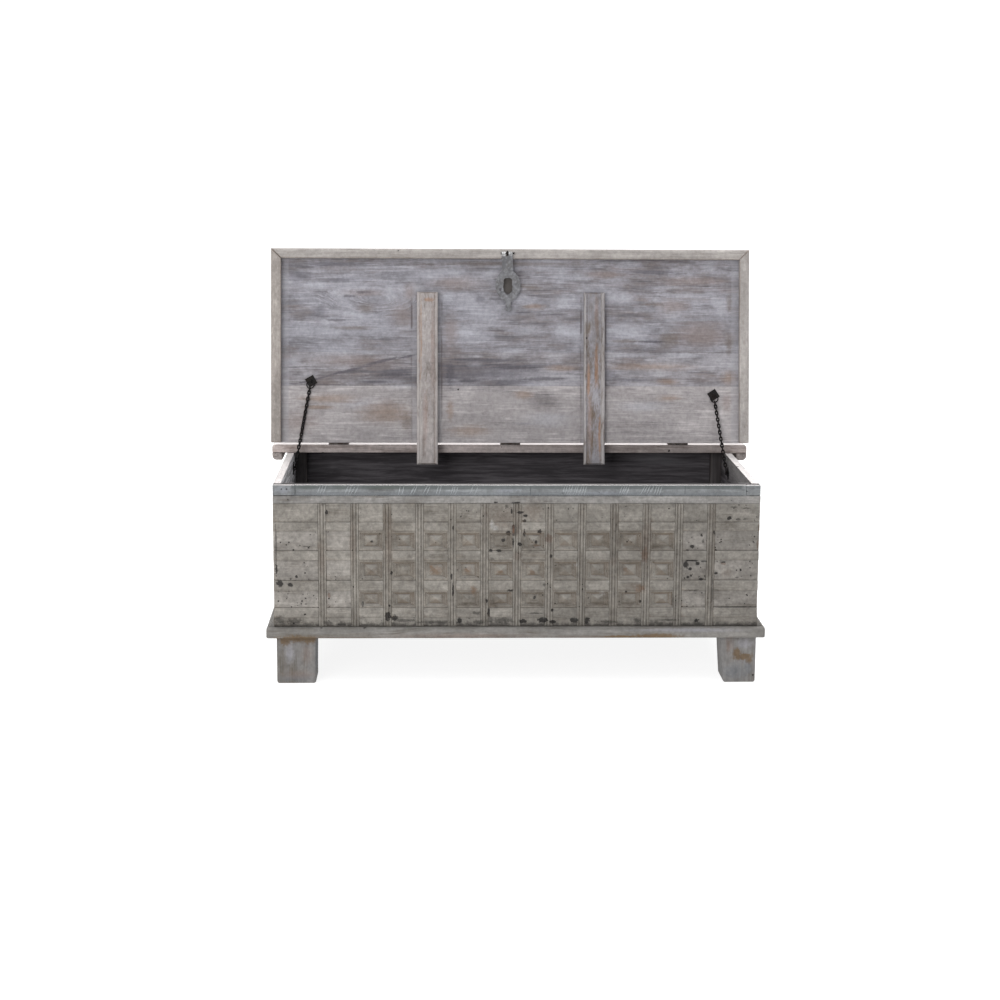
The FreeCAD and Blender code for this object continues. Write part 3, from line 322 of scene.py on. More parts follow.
# %% Limewash and mottling groups
bench, given, out = start_group(
    "limewash",
    [("Vector", VECTOR, None), ("Streak", FLOAT, 0.5), ("Fibre", FLOAT, 0.5), ("Broad", FLOAT, 0.5),
     ("Cover", FLOAT, 0.7), ("Patches", FLOAT, 0.5), ("Grit", FLOAT, 1.3)],
    [("Mask", FLOAT), ("Cloud", FLOAT), ("Stroke", FLOAT)])
cloud = bench.noise(bench.place(given.outputs["Vector"], scale=(7, 14, 14)), 1.0, 5.0, 0.66).outputs[0]
slow_part = bench.plus(bench.times(cloud, 1.6), bench.times(given.outputs["Broad"], 1.4))
sanded = bench.times(bench.minus(slow_part, 1.5), given.outputs["Patches"])
raised = bench.times(bench.minus(given.outputs["Streak"], 0.5), given.outputs["Grit"])
hairs = bench.times(bench.minus(given.outputs["Fibre"], 0.5), 0.8)
left = bench.plus(bench.plus(given.outputs["Cover"], sanded), bench.plus(raised, hairs))
bench.fill(out, {"Mask": bench.between(left, 0.15, 0.85)})
bench.fill(out, {"Cloud": cloud})
brushed = bench.noise(bench.place(given.outputs["Vector"], shift=(3, 5, 1), scale=(11, 210, 210)), 1.0, 3.0,
                      0.62)
bench.fill(out, {"Stroke": bench.between(bench.plus(brushed.outputs[0], bench.times(cloud, 0.5)), 0.74,
                                         0.98)})

bench, given, out = start_group("mottling", [("Vector", VECTOR, None), ("Amount", FLOAT, 0.5)],
                                [("Light", FLOAT), ("Ragged", FLOAT)])
spots = bench.noise(given.outputs["Vector"], 105.0, 4.0, 0.72).outputs[0]
ragged = bench.noise(bench.place(given.outputs["Vector"], shift=(9, 2, 6)), 150.0, 4.0, 0.75).outputs[0]
swing = bench.times(bench.minus(spots, 0.5), given.outputs["Amount"])
bench.fill(out, {"Light": bench.plus(1.0, bench.times(swing, 1.7))})
bench.fill(out, {"Ragged": ragged})

# %% [markdown]
# ## Marks of this one chest
# Some marks belong to this chest alone: a raw patch on a batten, a chip in the carving, a brown mark under
# the base that is partly stain and partly painted shade. One is painted shade only: the brown line under the
# lid's front lip. Each is an ellipse seen from the front, with a ragged rim. Marks of one kind share one
# mask, which takes the distance to the nearest of them, and all the kinds on one part of the chest make one
# group.

# %% Mark groups
# How sharply a mark ends: where it begins to show and where it is full, as shares of its half size
CRISP, SOFT, RAGGED, TORN = (1.15, 0.75), (1.5, 0.1), (1.3, 0.4), (1.3, 0.5)


def mark_group(name, kinds):
    """A group with a mask for each kind of mark; a mark is x, height, half width and half height in mm.

    A kind is a rim, its marks and, where they all lean, the degrees by which they rise to the right.
    """
    bench, given, out = start_group(name, [("Vector", VECTOR, None), ("Ragged", FLOAT, 0.5)],
                                    [(kind, FLOAT) for kind in kinds])
    torn = bench.times(bench.minus(given.outputs["Ragged"], 0.5), 2.7)
    for kind, (rim, marks, *lean) in kinds.items():
        turn = math.radians(lean[0]) if lean else 0
        level_place = bench.place(given.outputs["Vector"], turn=(0, turn,
                                                                 0)) if lean else given.outputs["Vector"]
        nearest = 9.0
        for x, z, wide, tall in marks:
            x, z = x * math.cos(turn) + z * math.sin(turn), z * math.cos(turn) - x * math.sin(turn)
            scaled = bench.add("VectorMath", {0: level_place, 1: (1 / (wide * MM), 0, 1 / (tall * MM)),
                                              2: (-x / wide, 0, -z / tall)},
                               operation="MULTIPLY_ADD").outputs[0]
            length = bench.length(scaled)
            nearest = bench.math("MINIMUM", nearest, length)
        bench.tree.links.new(bench.between(bench.plus(nearest, torn), *rim), out.inputs[kind])


SLATE, ROSE, UMBER, OCHRE = (0.125, 0.12, 0.14), (0.235, 0.185, 0.17), (0.13, 0.10, 0.08), (0.26, 0.175, 0.12)
SOOT, CHALK = (0.022, 0.02, 0.019), (0.42, 0.42, 0.42)
lid_marks = {
    "Slate": (SOFT, [(-451, 940, 100, 6), (-426, 901, 62, 6), (-481, 827, 22, 12), (-293, 671, 60, 15),
                     (-345, 652, 60, 6), (-79, 856, 12, 11), (-74, 671, 155, 32), (-152, 669, 22, 32),
                     (38, 691, 90, 9), (-9, 652, 85, 8), (339, 925, 85, 6), (357, 752, 30, 4),
                     (241, 669, 38, 15), (302, 657, 50, 6), (-526, 908, 30, 14)]),
    "Rose": (SOFT, [(-370, 871, 55, 8), (-270, 814, 35, 32), (-253, 871, 18, 20), (-395, 703, 105, 15),
                    (-526, 551, 45, 25), (-137, 896, 60, 18), (-150, 773, 20, 45), (457, 903, 80, 11),
                    (241, 918, 50, 10), (409, 839, 38, 20), (477, 773, 75, 32), (545, 600, 12, 22)]),
    # In Umber, the long thin mark at -12, 943 is painted shade under the lid's front lip
    "Umber": (SOFT, [(-363, 832, 22, 12), (-400, 784, 50, 5), (-260, 551, 15, 22), (-12, 943, 225, 6),
                     (51, 886, 32, 8), (357, 844, 35, 3), (397, 755, 25, 18), (287, 753, 38, 5),
                     (551, 846, 9, 22), (551, 745, 10, 25)]),
    "Ochre": (SOFT, [(-451, 610, 75, 12), (-481, 588, 38, 5), (-313, 575, 65, 27), (58, 837, 28, 8),
                     (126, 686, 40, 8), (-152, 580, 9, 27), (-105, 531, 50, 15), (33, 620, 22, 11),
                     (352, 689, 105, 10), (397, 652, 30, 8), (552, 662, 20, 18), (397, 612, 30, 8)]),
    "Line": (TORN, [(-490, 657, 48, 3), (-405, 679, 60, 3.5), (-320, 703, 50, 4), (-262, 713, 30, 3)], 13),
    "Streak": (RAGGED, [(16, 686, 62, 4), (-100, 708, 60, 3.5), (-34, 694, 32, 3.5), (-105, 654, 26, 5),
                        (81, 659, 62, 4), (-152, 672, 12, 30), (-300, 668, 55, 6), (-335, 651, 40, 3),
                        (28, 823, 26, 1.8), (80, 817, 20, 1.8), (116, 818, 26, 1.8), (-404, 862, 16, 3),
                        (-372, 872, 30, 4), (-436, 803, 30, 3), (352, 752, 40, 3)]),
    "Chalk": ((1.5, 0.0), [(-404, 871, 27, 4), (-390, 819, 30, 9), (-303, 868, 15, 20), (-241, 883, 22, 11),
                           (-491, 888, 44, 10), (-303, 651, 48, 7), (-345, 933, 62, 4), (-471, 777, 62, 10),
                           (-370, 723, 62, 6), (-546, 704, 20, 14), (-145, 920, 38, 7), (-162, 864, 22, 15),
                           (-120, 777, 50, 16), (41, 777, 42, 12), (131, 852, 32, 16), (171, 911, 42, 10),
                           (141, 777, 36, 18), (-90, 694, 20, 7), (61, 645, 42, 7), (276, 859, 42, 15),
                           (296, 782, 48, 17), (286, 718, 62, 6), (442, 718, 52, 5), (447, 866, 62, 7),
                           (392, 886, 52, 5), (-385, 600, 60, 16), (-270, 640, 45, 8), (90, 560, 70, 20),
                           (330, 590, 60, 14)]),
}
front_marks = {
    "Chips": (CRISP, [(-439, 407, 3, 7), (-548, 240, 7, 8), (-525, 236, 6, 5), (-510, 255, 3, 3),
                      (-556, 273, 3, 14), (-357, 189, 3, 7), (-336, 338, 3, 3), (-290, 264, 3, 4),
                      (-299, 161, 7, 11), (-283, 158, 7, 7), (-295, 186, 3, 3), (-148, 370, 2, 6),
                      (-151, 255, 2, 7), (-148, 222, 2, 14), (-133, 150, 5, 6), (-69, 198, 3, 4),
                      (-65, 170, 3, 11), (-15, 222, 8, 3), (-20, 358, 5, 6), (-9, 336, 2, 10),
                      (-32, 341, 5, 4), (7, 332, 5, 4), (17, 358, 3, 8), (52, 362, 5, 5), (44, 337, 3, 5),
                      (7, 407, 8, 3), (19, 399, 5, 3), (17, 387, 5, 3), (-13, 409, 2, 5), (-50, 431, 5, 2),
                      (-2, 430, 10, 2), (79, 304, 3, 4), (-61, 317, 4, 3), (-42, 317, 6, 3), (15, 149, 9, 5),
                      (61, 151, 11, 6), (85, 147, 7, 4), (42, 205, 3, 4), (165, 150, 6, 7), (135, 151, 9, 6),
                      (83, 176, 3, 4), (255, 218, 3, 3), (288, 196, 3, 4), (492, 393, 5, 4), (457, 360, 2, 5),
                      (428, 353, 3, 4), (407, 327, 5, 4), (394, 283, 6, 8), (404, 273, 4, 4),
                      (408, 293, 14, 2), (420, 286, 5, 5), (435, 291, 7, 2), (481, 289, 5, 2),
                      (465, 263, 5, 3), (521, 270, 2, 3), (398, 253, 4, 3), (429, 249, 5, 3),
                      (406, 257, 2, 2), (421, 150, 4, 4), (-491, 166, 3, 3)]),
    "Dark": (TORN, [(-484, 326, 10, 2), (-556, 332, 2, 50), (-258, 151, 28, 4), (-94, 169, 11, 4),
                    (-61, 151, 9, 9), (-87, 147, 14, 5), (-193, 147, 40, 4), (44, 352, 8, 2),
                    (-24, 421, 5, 4), (-58, 297, 5, 4), (-36, 151, 28, 7), (45, 168, 18, 2), (64, 236, 3, 4),
                    (214, 147, 23, 4), (283, 150, 11, 6), (512, 391, 7, 3), (529, 391, 7, 2),
                    (503, 419, 9, 3), (531, 417, 9, 2), (432, 338, 3, 4), (396, 318, 4, 2), (514, 252, 4, 2),
                    (408, 222, 18, 2), (456, 222, 2, 38), (505, 182, 50, 2), (363, 203, 2, 24),
                    (357, 151, 28, 2), (-551, 154, 11, 9), (-514, 150, 18, 7), (-489, 190, 3, 2),
                    (-440, 146, 11, 4), (-406, 142, 11, 2)]),
    "Umber": (SOFT, [(-457, 327, 5, 8), (-334, 269, 12, 8), (-334, 208, 6, 7), (-380, 332, 9, 55),
                     (-450, 297, 8, 45), (-295, 332, 8, 55), (1, 367, 4, 22), (2, 302, 10, 12),
                     (300, 344, 11, 52), (223, 290, 10, 8), (282, 231, 19, 8), (489, 264, 12, 10),
                     (-36, 395, 45, 30), (34, 410, 32, 22)]),
    "Ochre": (RAGGED, [(-188, 271, 14, 11), (-198, 278, 5, 6), (-113, 271, 9, 8), (-100, 222, 7, 11),
                       (-38, 266, 7, 5), (288, 226, 11, 10)]),
    "Rust": (CRISP, [(-435, 211, 4, 7), (45, 328, 7, 3), (74, 346, 8, 11), (36, 264, 6, 6), (297, 306, 9, 15),
                     (253, 271, 6, 5), (481, 285, 6, 4), (560, 330, 3, 13), (561, 372, 3, 11)]),
    "Chalk": (RAGGED, [(-58, 378, 5, 12), (-50, 369, 7, 6), (138, 283, 5, 4), (200, 215, 7, 6)]),
}
base_marks = {
    # The long Umber bands near 115 mm and the Rose band at 120 mm: partly stain, partly painted shade
    "Umber": (SOFT, [(230, 115, 180, 4), (-130, 115, 160, 4), (499, 109, 9, 4), (497, 88, 4, 20),
                     (-440, 114, 90, 3)]),
    "Ochre": (TORN, [(-512, 109, 52, 11), (-538, 103, 14, 13), (-482, 107, 24, 12), (533, 62, 24, 9),
                     (519, 70, 9, 14), (547, 54, 8, 10), (327, 117, 56, 7), (250, 115, 44, 4)]),
    "Slate": (SOFT, [(515, 26, 34, 20), (544, 34, 12, 18), (-466, 60, 4, 40), (-512, 12, 40, 8)]),
    "Rose": (SOFT, [(-488, 72, 13, 26), (-506, 20, 40, 12), (-130, 120, 170, 4), (500, 90, 10, 20)]),
    # The long Chalk band at 131 mm, on the moulding's upper rounding: partly lime, partly painted highlight
    "Chalk": ((1.4, 0.2), [(535, 93, 20, 11), (400, 131, 130, 5), (-527, 72, 11, 26)]),
}
mark_group("lid_marks", lid_marks)
mark_group("front_marks", front_marks)
mark_group("base_marks", base_marks)
print("marks:", sum(len(kind[1]) for kinds in (lid_marks, front_marks,
                                               base_marks) for kind in kinds.values()))

# %% [markdown]
# ## Specks
# Old nail holes, worm holes and small chips are dark specks, and they gather in places. Cells give the
# specks, a random number for each cell picks the few that show, and slow noise decides where they gather.

# %% Speck group
bench, given, out = start_group(
    "specks", [("Vector", VECTOR, None), ("Scale", FLOAT, 60.0), ("Share", FLOAT, 0.2)], [("Mask", FLOAT)])
ragged = bench.noise(given.outputs["Vector"], 240.0, 1.0).outputs["Color"]
ragged = bench.scaled(ragged, 0.004)
shaken = bench.vector("ADD", given.outputs["Vector"], ragged)
speck_cell = bench.cells(shaken, given.outputs["Scale"])
pick = bench.axis(speck_cell.outputs["Color"], 1)
gather = bench.noise(given.outputs["Vector"], 9.0, 2.0).outputs[0]
share = bench.times(given.outputs["Share"], bench.between(gather, 0.42, 0.68, 0.15, 2.2))
chosen = bench.math("LESS_THAN", pick, share)
girth = bench.blur(bench.axis(speck_cell.outputs["Color"], 2), 0.10, 0.30)
spot = bench.between(bench.minus(speck_cell.outputs["Distance"], girth), 0.05, -0.05)
bench.fill(out, {"Mask": bench.times(chosen, spot)})
print("groups:", sorted(g.name for g in bpy.data.node_groups))

# %% [markdown]
# ## The painted wood finishes
# One recipe makes every painted wood here: bare wood with its grain, lime over it, wear on the edges, dirt
# and painted shade in the corners, specks, and the marks of its own group. Each plank is given its own seed
# and tint, as no two planks came from the same tree.

# %% Painted wood
TURN_TO_X = {"X": (0, 0, 0), "Y": (0, 0, -math.pi / 2), "Z": (0, math.pi / 2, 0)}
BLACK = (0.012, 0.010, 0.009)


def colour(r, g, b):
    return (r, g, b, 1)


def shaded(tint, by):
    return colour(*(min(1, v * by) for v in tint))


def bend_round(bench, vector, centre, wide, tall):
    """Makes the grain run round a knot: near the centre, height becomes the distance from it."""
    away = bench.vector("SUBTRACT", vector, centre)
    scaled = bench.vector("MULTIPLY", away, (1 / wide, 0, 1 / tall))
    length = bench.length(scaled)
    swerve = bench.minus(bench.noise(bench.place(vector, scale=(13, 13, 24)), 1.0, 3.0).outputs[0], 0.5)
    length = bench.plus(length, bench.times(swerve, 1.1))
    close = bench.between(length, 1.6, 0.8)
    parts = bench.add("SeparateXYZ", {0: vector})
    around = bench.line(length, tall, centre[2])
    across = bench.line(bench.minus(parts.outputs[0], centre[0]), 0.35, centre[0])
    return bench.add("CombineXYZ", {0: bench.blur(close, parts.outputs[0], across), 1: parts.outputs[1],
                                    2: bench.blur(close, parts.outputs[2], around)}).outputs[0]


def start_finish(name):
    """A new material; returns it with its bench, its shader and the place of each point on its piece."""
    made = bpy.data.materials.new(name)
    made.use_nodes = True
    bench = Bench(made.node_tree)
    return made, bench, made.node_tree.nodes["Principled BSDF"], bench.add("TexCoord").outputs["Object"]


def painted_wood(name, grain="X", seed=0.0, lime=(0.24, 0.235, 0.23), old=(0.11, 0.095, 0.085),
                 young=(0.19, 0.15, 0.12), cover=0.75, patches=0.5, grit=1.3, chalk=0.5, mottle=0.5,
                 edges=0.5, edge_radius=0.003, edge_tint=None, dirt_and_shade=0.5, dirt_and_shade_depth=0.5,
                 dirt_and_shade_tint=(0.055, 0.042, 0.032), reach=0.012, full=0.62, specks=0.08, speck_scale=70.0,
                 clouds=(0.80, 1.10), drift=None, marks=None, whorls=(), tone=None, inside=None, shade=None,
                 top_lime_and_highlight=None):
    """A limewashed wood whose grain runs along one axis of the chest."""
    made, bench, shader, here = start_finish(name)
    if tone:
        own = bench.add("Attribute", attribute_name="own_tone").outputs["Fac"]
        seed_value = bench.line(own, 7.0, seed)
    else:
        seed_value = seed
    along = here
    for centre, wide, tall in whorls:
        along = bend_round(bench, along, centre, wide, tall)
    along = bench.place(along, turn=TURN_TO_X[grain])
    wood = bench.group("wood_grain", {"Vector": along, "Seed": seed_value}).outputs
    wash = bench.group("limewash", {"Vector": along, "Streak": wood["Streak"], "Fibre": wood["Fibre"],
                                    "Broad": wood["Broad"], "Cover": cover, "Patches": patches,
                                    "Grit": grit}).outputs
    spots = bench.group("mottling", {"Vector": here, "Amount": mottle}).outputs
    bare = bench.mix(bench.between(wood["Streak"], 0.36, 0.64), colour(*old), colour(*young))
    bare = bench.mix(bench.times(wood["Figure"], 0.4), bare, shaded(old, 0.6))
    bare = bench.mix(bench.times(wood["Knot"], 0.7), bare, shaded(old, 0.45))
    mask = bench.minus(wash["Mask"], bench.times(wood["Knot"], 0.5), clamp=True)
    coat = bench.mix(bench.between(wash["Cloud"], 0.32, 0.68), shaded(lime, clouds[0]),
                     shaded(lime, clouds[1]))
    coat = bench.mix(bench.times(wash["Stroke"], chalk), coat, shaded(lime, 1.5))
    if top_lime_and_highlight:
        # Faces that look up get the top colour: a lighter lime with a painted highlight
        facing_up = bench.between(bench.axis(bench.normal(), 2), 0.55, 0.85)
        coat = bench.mix(facing_up, coat, colour(*top_lime_and_highlight))
        mask = bench.math("MAXIMUM", mask, bench.times(facing_up, 0.85))
    painted = bench.mix(bench.times(mask, 0.92), bare, coat)
    worn = bench.group("edge_wear", {"Vector": here, "Radius": edge_radius, "Amount": edges}).outputs[0]
    painted = bench.tint(painted, worn, 0.55, edge_tint or young)
    pits = 0.0
    if marks:
        group_name, kinds, brushed = marks
        rim = bench.blur(brushed, spots["Ragged"], wood["Streak"])
        masks = bench.group(group_name, {"Vector": here, "Ragged": rim}).outputs
        for kind, (tint, strength) in kinds.items():
            painted = bench.tint(painted, masks[kind], strength, tint)
            if kind == "Chips":
                pits = masks[kind]
    light = spots["Light"]
    if tone:
        light = bench.times(light, bench.blur(own, 1 - tone, 1 + tone))
    if drift:
        light = bench.times(light, bench.between(bench.axis(here, 0), -0.55, 0.55, *drift))
    painted = bench.scaled(painted, light)
    # Dirt and painted shade in the corners, from ambient occlusion
    dirt_and_shade_mask = bench.group("corner_dirt_and_shade", {"Vector": here, "Amount": dirt_and_shade, "Reach": reach,
                                        "Full": full}).outputs[0]
    painted = bench.tint(painted, dirt_and_shade_mask, dirt_and_shade_depth, dirt_and_shade_tint)
    holes = bench.group("specks", {"Vector": here, "Scale": speck_scale, "Share": specks}).outputs[0]
    painted = bench.tint(painted, holes, 0.88, BLACK)
    if inside:
        painted = inside(bench, here, painted, wood)
    if shade:
        painted = shade(bench, here, painted, wood, wash)
    relief = bench.plus(bench.times(wood["Fibre"], 0.35), bench.times(wood["Streak"], 0.7))
    relief = bench.plus(relief, bench.times(mask, 0.2))
    relief = bench.minus(relief, bench.times(bench.plus(holes, pits), 1.6))
    bump = bench.add("Bump", {"Height": relief, "Strength": 0.6, "Distance": 0.0011}).outputs[0]
    bench.fill(shader, {"Base Color": painted, "Roughness": bench.blur(mask, 0.62, 0.9),
                        "Specular IOR Level": 0.25, "Normal": bump})
    return made


print("recipe for painted wood ready")

# %% [markdown]
# ## The dark inside
# The walls are painted outside only. Inside, the wood is dark with age and smoke, and a little stray lime has
# run over the top edge, and far down the left wall, which is painted near white there, as lime and as painted
# light on a face that looks towards the light. A face belongs to the inside when it looks towards the
# middle of the box and lies below the rim.

# %% Inside of the box
RIM_HEIGHT = 0.471


def dark_inside(axis, sign, run=0.035, spill_lime_and_light=None):
    """Shades faces that look inwards along one axis as bare dark wood, with lime run down from the rim."""
    def shade(bench, here, painted, wood):
        normal = bench.normal()
        facing = bench.between(bench.times(bench.axis(normal, axis), sign), 0.5, 0.8)
        dark = bench.mix(bench.between(wood["Streak"], 0.35, 0.7), colour(0.062, 0.056, 0.061),
                         colour(0.160, 0.148, 0.158))
        dark = bench.mix(bench.between(wood["Broad"], 0.50, 0.75), dark, colour(0.21, 0.204, 0.215))
        height = bench.axis(here, 2)
        ragged = bench.line(wood["Streak"], 0.05, -0.025)
        near_rim = bench.between(bench.plus(height, ragged), RIM_HEIGHT - run, RIM_HEIGHT - 0.002)
        limed = painted
        if spill_lime_and_light:
            # The spill colour stands for lime and painted light: near white on the left wall
            limed = bench.mix(bench.between(wood["Streak"], 0.42, 0.56), shaded(spill_lime_and_light, 0.45), colour(*spill_lime_and_light))
        dark = bench.mix(bench.times(near_rim, 0.8), dark, limed)
        return bench.mix(facing, painted, dark)
    return shade


# %% [markdown]
# ## Worn copies
# The solids have crisp machine edges. A real plank of this age has none: its edges are rounded and slightly
# wavy, and its faces keep the ripple of the plane. Each node is copied, its loose triangles are merged, its
# edges bevelled, cross cuts added by bisecting, and a slight displacement pushes the faces inwards, so that
# the piece never grows out of its place.

# %% Worn copies
def copy_of(node, name):
    """A new piece with the merged mesh of a CAD node."""
    piece = bpy.data.objects.new(name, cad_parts[node].data.copy())
    piece.data.name = name
    scene.collection.objects.link(piece)
    select_only(piece)
    piece.data.materials.clear()
    if piece.data.has_custom_normals:
        bpy.ops.mesh.customdata_custom_splitnormals_clear()
    bpy.ops.object.mode_set(mode="EDIT")
    bpy.ops.mesh.select_all(action="SELECT")
    bpy.ops.mesh.remove_doubles(threshold=0.00001)
    bpy.ops.mesh.dissolve_limited(angle_limit=math.radians(0.6))
    bpy.ops.object.mode_set(mode="OBJECT")
    return piece


def use_modifier(piece, kind, **settings):
    """Adds a modifier, sets it and applies it."""
    select_only(piece)
    modifier = piece.modifiers.new(kind.lower(), kind)
    for key, value in settings.items():
        setattr(modifier, key, value)
    bpy.ops.object.modifier_apply(modifier=modifier.name)


def cross_cuts(piece, axis, step):
    """Bisects the piece square to an axis at even steps."""
    low = min(v.co[axis] for v in piece.data.vertices)
    high = max(v.co[axis] for v in piece.data.vertices)
    count = max(1, round((high - low) / step))
    normal = [0, 0, 0]
    normal[axis] = 1
    select_only(piece)
    bpy.ops.object.mode_set(mode="EDIT")
    for number in range(1, count):
        place = [0, 0, 0]
        place[axis] = low + (high - low) * number / count
        bpy.ops.mesh.select_all(action="SELECT")
        bpy.ops.mesh.bisect(plane_co=place, plane_no=normal)
    bpy.ops.object.mode_set(mode="OBJECT")


def select_in_edit(piece, kind, test):
    """Goes to edit mode with only the faces, edges or vertices that pass a test selected."""
    mesh = piece.data
    for parts in (mesh.vertices, mesh.edges, mesh.polygons):
        parts.foreach_set("select", [False] * len(parts))
    select_only(piece)
    scene.tool_settings.mesh_select_mode = (kind == "vertices", kind == "edges", kind == "polygons")
    for part in getattr(mesh, kind):
        part.select = test(part)
    bpy.ops.object.mode_set(mode="EDIT")


def edit_only(piece, kind, test, operator, **settings):
    """Runs one operator in edit mode on the faces, edges or vertices that pass a test."""
    select_in_edit(piece, kind, test)
    operator(**settings)
    bpy.ops.object.mode_set(mode="OBJECT")


def ripple(piece, depth, size, name):
    """Pushes the surface inwards by up to a depth, in soft waves of a size."""
    waves = bpy.data.textures.get(name) or bpy.data.textures.new(name, "CLOUDS")
    waves.noise_scale = size
    waves.noise_depth = 1
    use_modifier(piece, "DISPLACE", texture=waves, texture_coords="LOCAL", direction="NORMAL",
                 mid_level=1.0, strength=depth)


def smooth_by_angle(piece, degrees=32):
    select_only(piece)
    bpy.ops.object.shade_smooth_by_angle(angle=math.radians(degrees))


def find_roots(count, pairs):
    """For each number below a count, the lowest number it hangs together with through pairs."""
    parent = list(range(count))

    def root(number):
        while parent[number] != number:
            parent[number] = parent[parent[number]]
            number = parent[number]
        return number

    for a, b in pairs:
        a, b = root(a), root(b)
        parent[max(a, b)] = min(a, b)
    return [root(number) for number in range(count)]


def tone_each_part(piece, seed):
    """Gives each loose part of a piece its own number from 0 to 1, in the attribute own_tone."""
    draw = random.Random(seed)
    roots = find_roots(len(piece.data.vertices), (edge.vertices for edge in piece.data.edges))
    tones = {}
    for top in roots:
        if top not in tones:
            tones[top] = draw.random()
    attribute = piece.data.attributes.new("own_tone", "FLOAT", "POINT")
    attribute.data.foreach_set("value", [tones[top] for top in roots])


def worn_copy(node, finish, body="box", round_off=0.0015, cuts=(), depth=0.0005, wave=0.05, parts=0,
              segments=2, shape=None):
    """The worn version of a CAD node, which it stands for; shape is a function that carves it further."""
    piece = copy_of(node, f"{node}_worn")
    if shape:
        shape(piece)
    if round_off:
        use_modifier(piece, "BEVEL", width=round_off, segments=segments, limit_method="ANGLE",
                     angle_limit=math.radians(28), harden_normals=False)
    for axis, step in cuts:
        cross_cuts(piece, axis, step)
    if depth:
        ripple(piece, depth, wave, f"waves_{round(wave * 1000)}")
    if parts:
        tone_each_part(piece, parts)
    smooth_by_angle(piece)
    piece.data.materials.append(finish)
    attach(piece, body)
    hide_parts(node)
    return piece


# %% [markdown]
# ## Lid boards
# Four boards make the lid, glued edge to edge, with the grain running across. Seen from inside they are lilac
# grey, with soft brown patches. At the upper left the grain whirls round a knot. The second board from the
# hinges is darker and the last one more beige. Glue has closed every seam, so the long edges of the boards
# are moved together and only the change of colour shows where one ends. The boards were sanded after the
# battens and lips were nailed on, so a strip of thicker wash with a dark line beside it is left next to them.

# %% Lid boards
LILAC = (0.268, 0.264, 0.292)
BATTEN_MIDDLE, SIDE_STRIP = 0.206, 0.554
STRIPS = [(-0.2485, -0.1735), (0.1765, 0.2385)]
SLOT_SHADE = ((-0.0065, 0, 0.8915), (1 / 0.0145, 0, 1 / 0.0250))
WHIRL = ((-0.345, 0, 0.856), 0.085, 0.030)
LID_MARKS = ("lid_marks", {"Chalk": ((0.44, 0.44, 0.485), 0.42), "Slate": (SLATE, 0.6), "Rose": (ROSE, 0.52),
                           "Umber": (UMBER, 0.55), "Ochre": (OCHRE, 0.5),
                           "Streak": ((0.085, 0.078, 0.09), 0.6), "Line": ((0.095, 0.085, 0.10), 0.75)}, 0.6)


def unsanded_strips(bench, here, painted, wood, wash):
    """Leaves the wash thick beside battens and lips, and paints shadow on the inner face behind the hasp's
    slot.
    """
    across, height = bench.axis(here, 0), bench.axis(here, 2)
    beside, rim = 0.0, 1.0
    for first, last in STRIPS:
        from_middle = bench.math("ABSOLUTE", bench.minus(across, (first + last) / 2))
        half = (last - first) / 2
        beside = bench.math("MAXIMUM", beside, bench.between(from_middle, half + 0.001, half - 0.003))
        rim = bench.math("MINIMUM", rim, bench.math("ABSOLUTE", bench.minus(from_middle, half)))
    beside = bench.times(beside, bench.between(height, 0.885, 0.872))
    edge = bench.math("ABSOLUTE", across)
    strip = bench.math("MAXIMUM", beside, bench.between(edge, SIDE_STRIP, SIDE_STRIP + 0.004))
    strip = bench.times(strip, bench.between(wash["Cloud"], 0.30, 0.60, 0.10, 0.40))
    broken = bench.noise(bench.place(here, scale=(60, 1, 16)), 1.0, 3.0, 0.6).outputs[0]
    line = bench.times(bench.between(rim, 0.0034, 0.0008), bench.between(broken, 0.40, 0.58))
    line = bench.times(line, bench.between(height, 0.872, 0.850))
    line = bench.times(line, bench.between(height, 0.560, 0.680, 0.25, 0.7))
    inner = bench.between(bench.axis(bench.normal(), 1), -0.5, -0.8)
    painted = bench.tint(painted, strip, inner, (0.34, 0.335, 0.36))
    painted = bench.tint(painted, line, inner, (0.095, 0.078, 0.08))
    # Painted shadow of the hasp's leaf on the inner face, seen through its slot
    away = bench.vector("SUBTRACT", here, SLOT_SHADE[0])
    away = bench.vector("MULTIPLY", away, SLOT_SHADE[1])
    painted_slot_shadow = bench.between(bench.length(away), 1.15, 0.8)
    return bench.tint(painted, painted_slot_shadow, inner, (0.098, 0.088, 0.082))


SEAM_SHIFT = 0.00015


def close_seams(piece):
    """Lets the two long edges of a glued board meet the boards beside it."""
    for side in (1, -1):
        edge = max((f for f in piece.data.polygons if f.normal.z * side > 0.9), key=lambda f: f.area)
        outward = edge.normal.copy()
        edit_only(piece, "polygons", lambda f: f.normal.dot(outward) > 0.99, bpy.ops.transform.translate,
                  value=outward * SEAM_SHIFT)


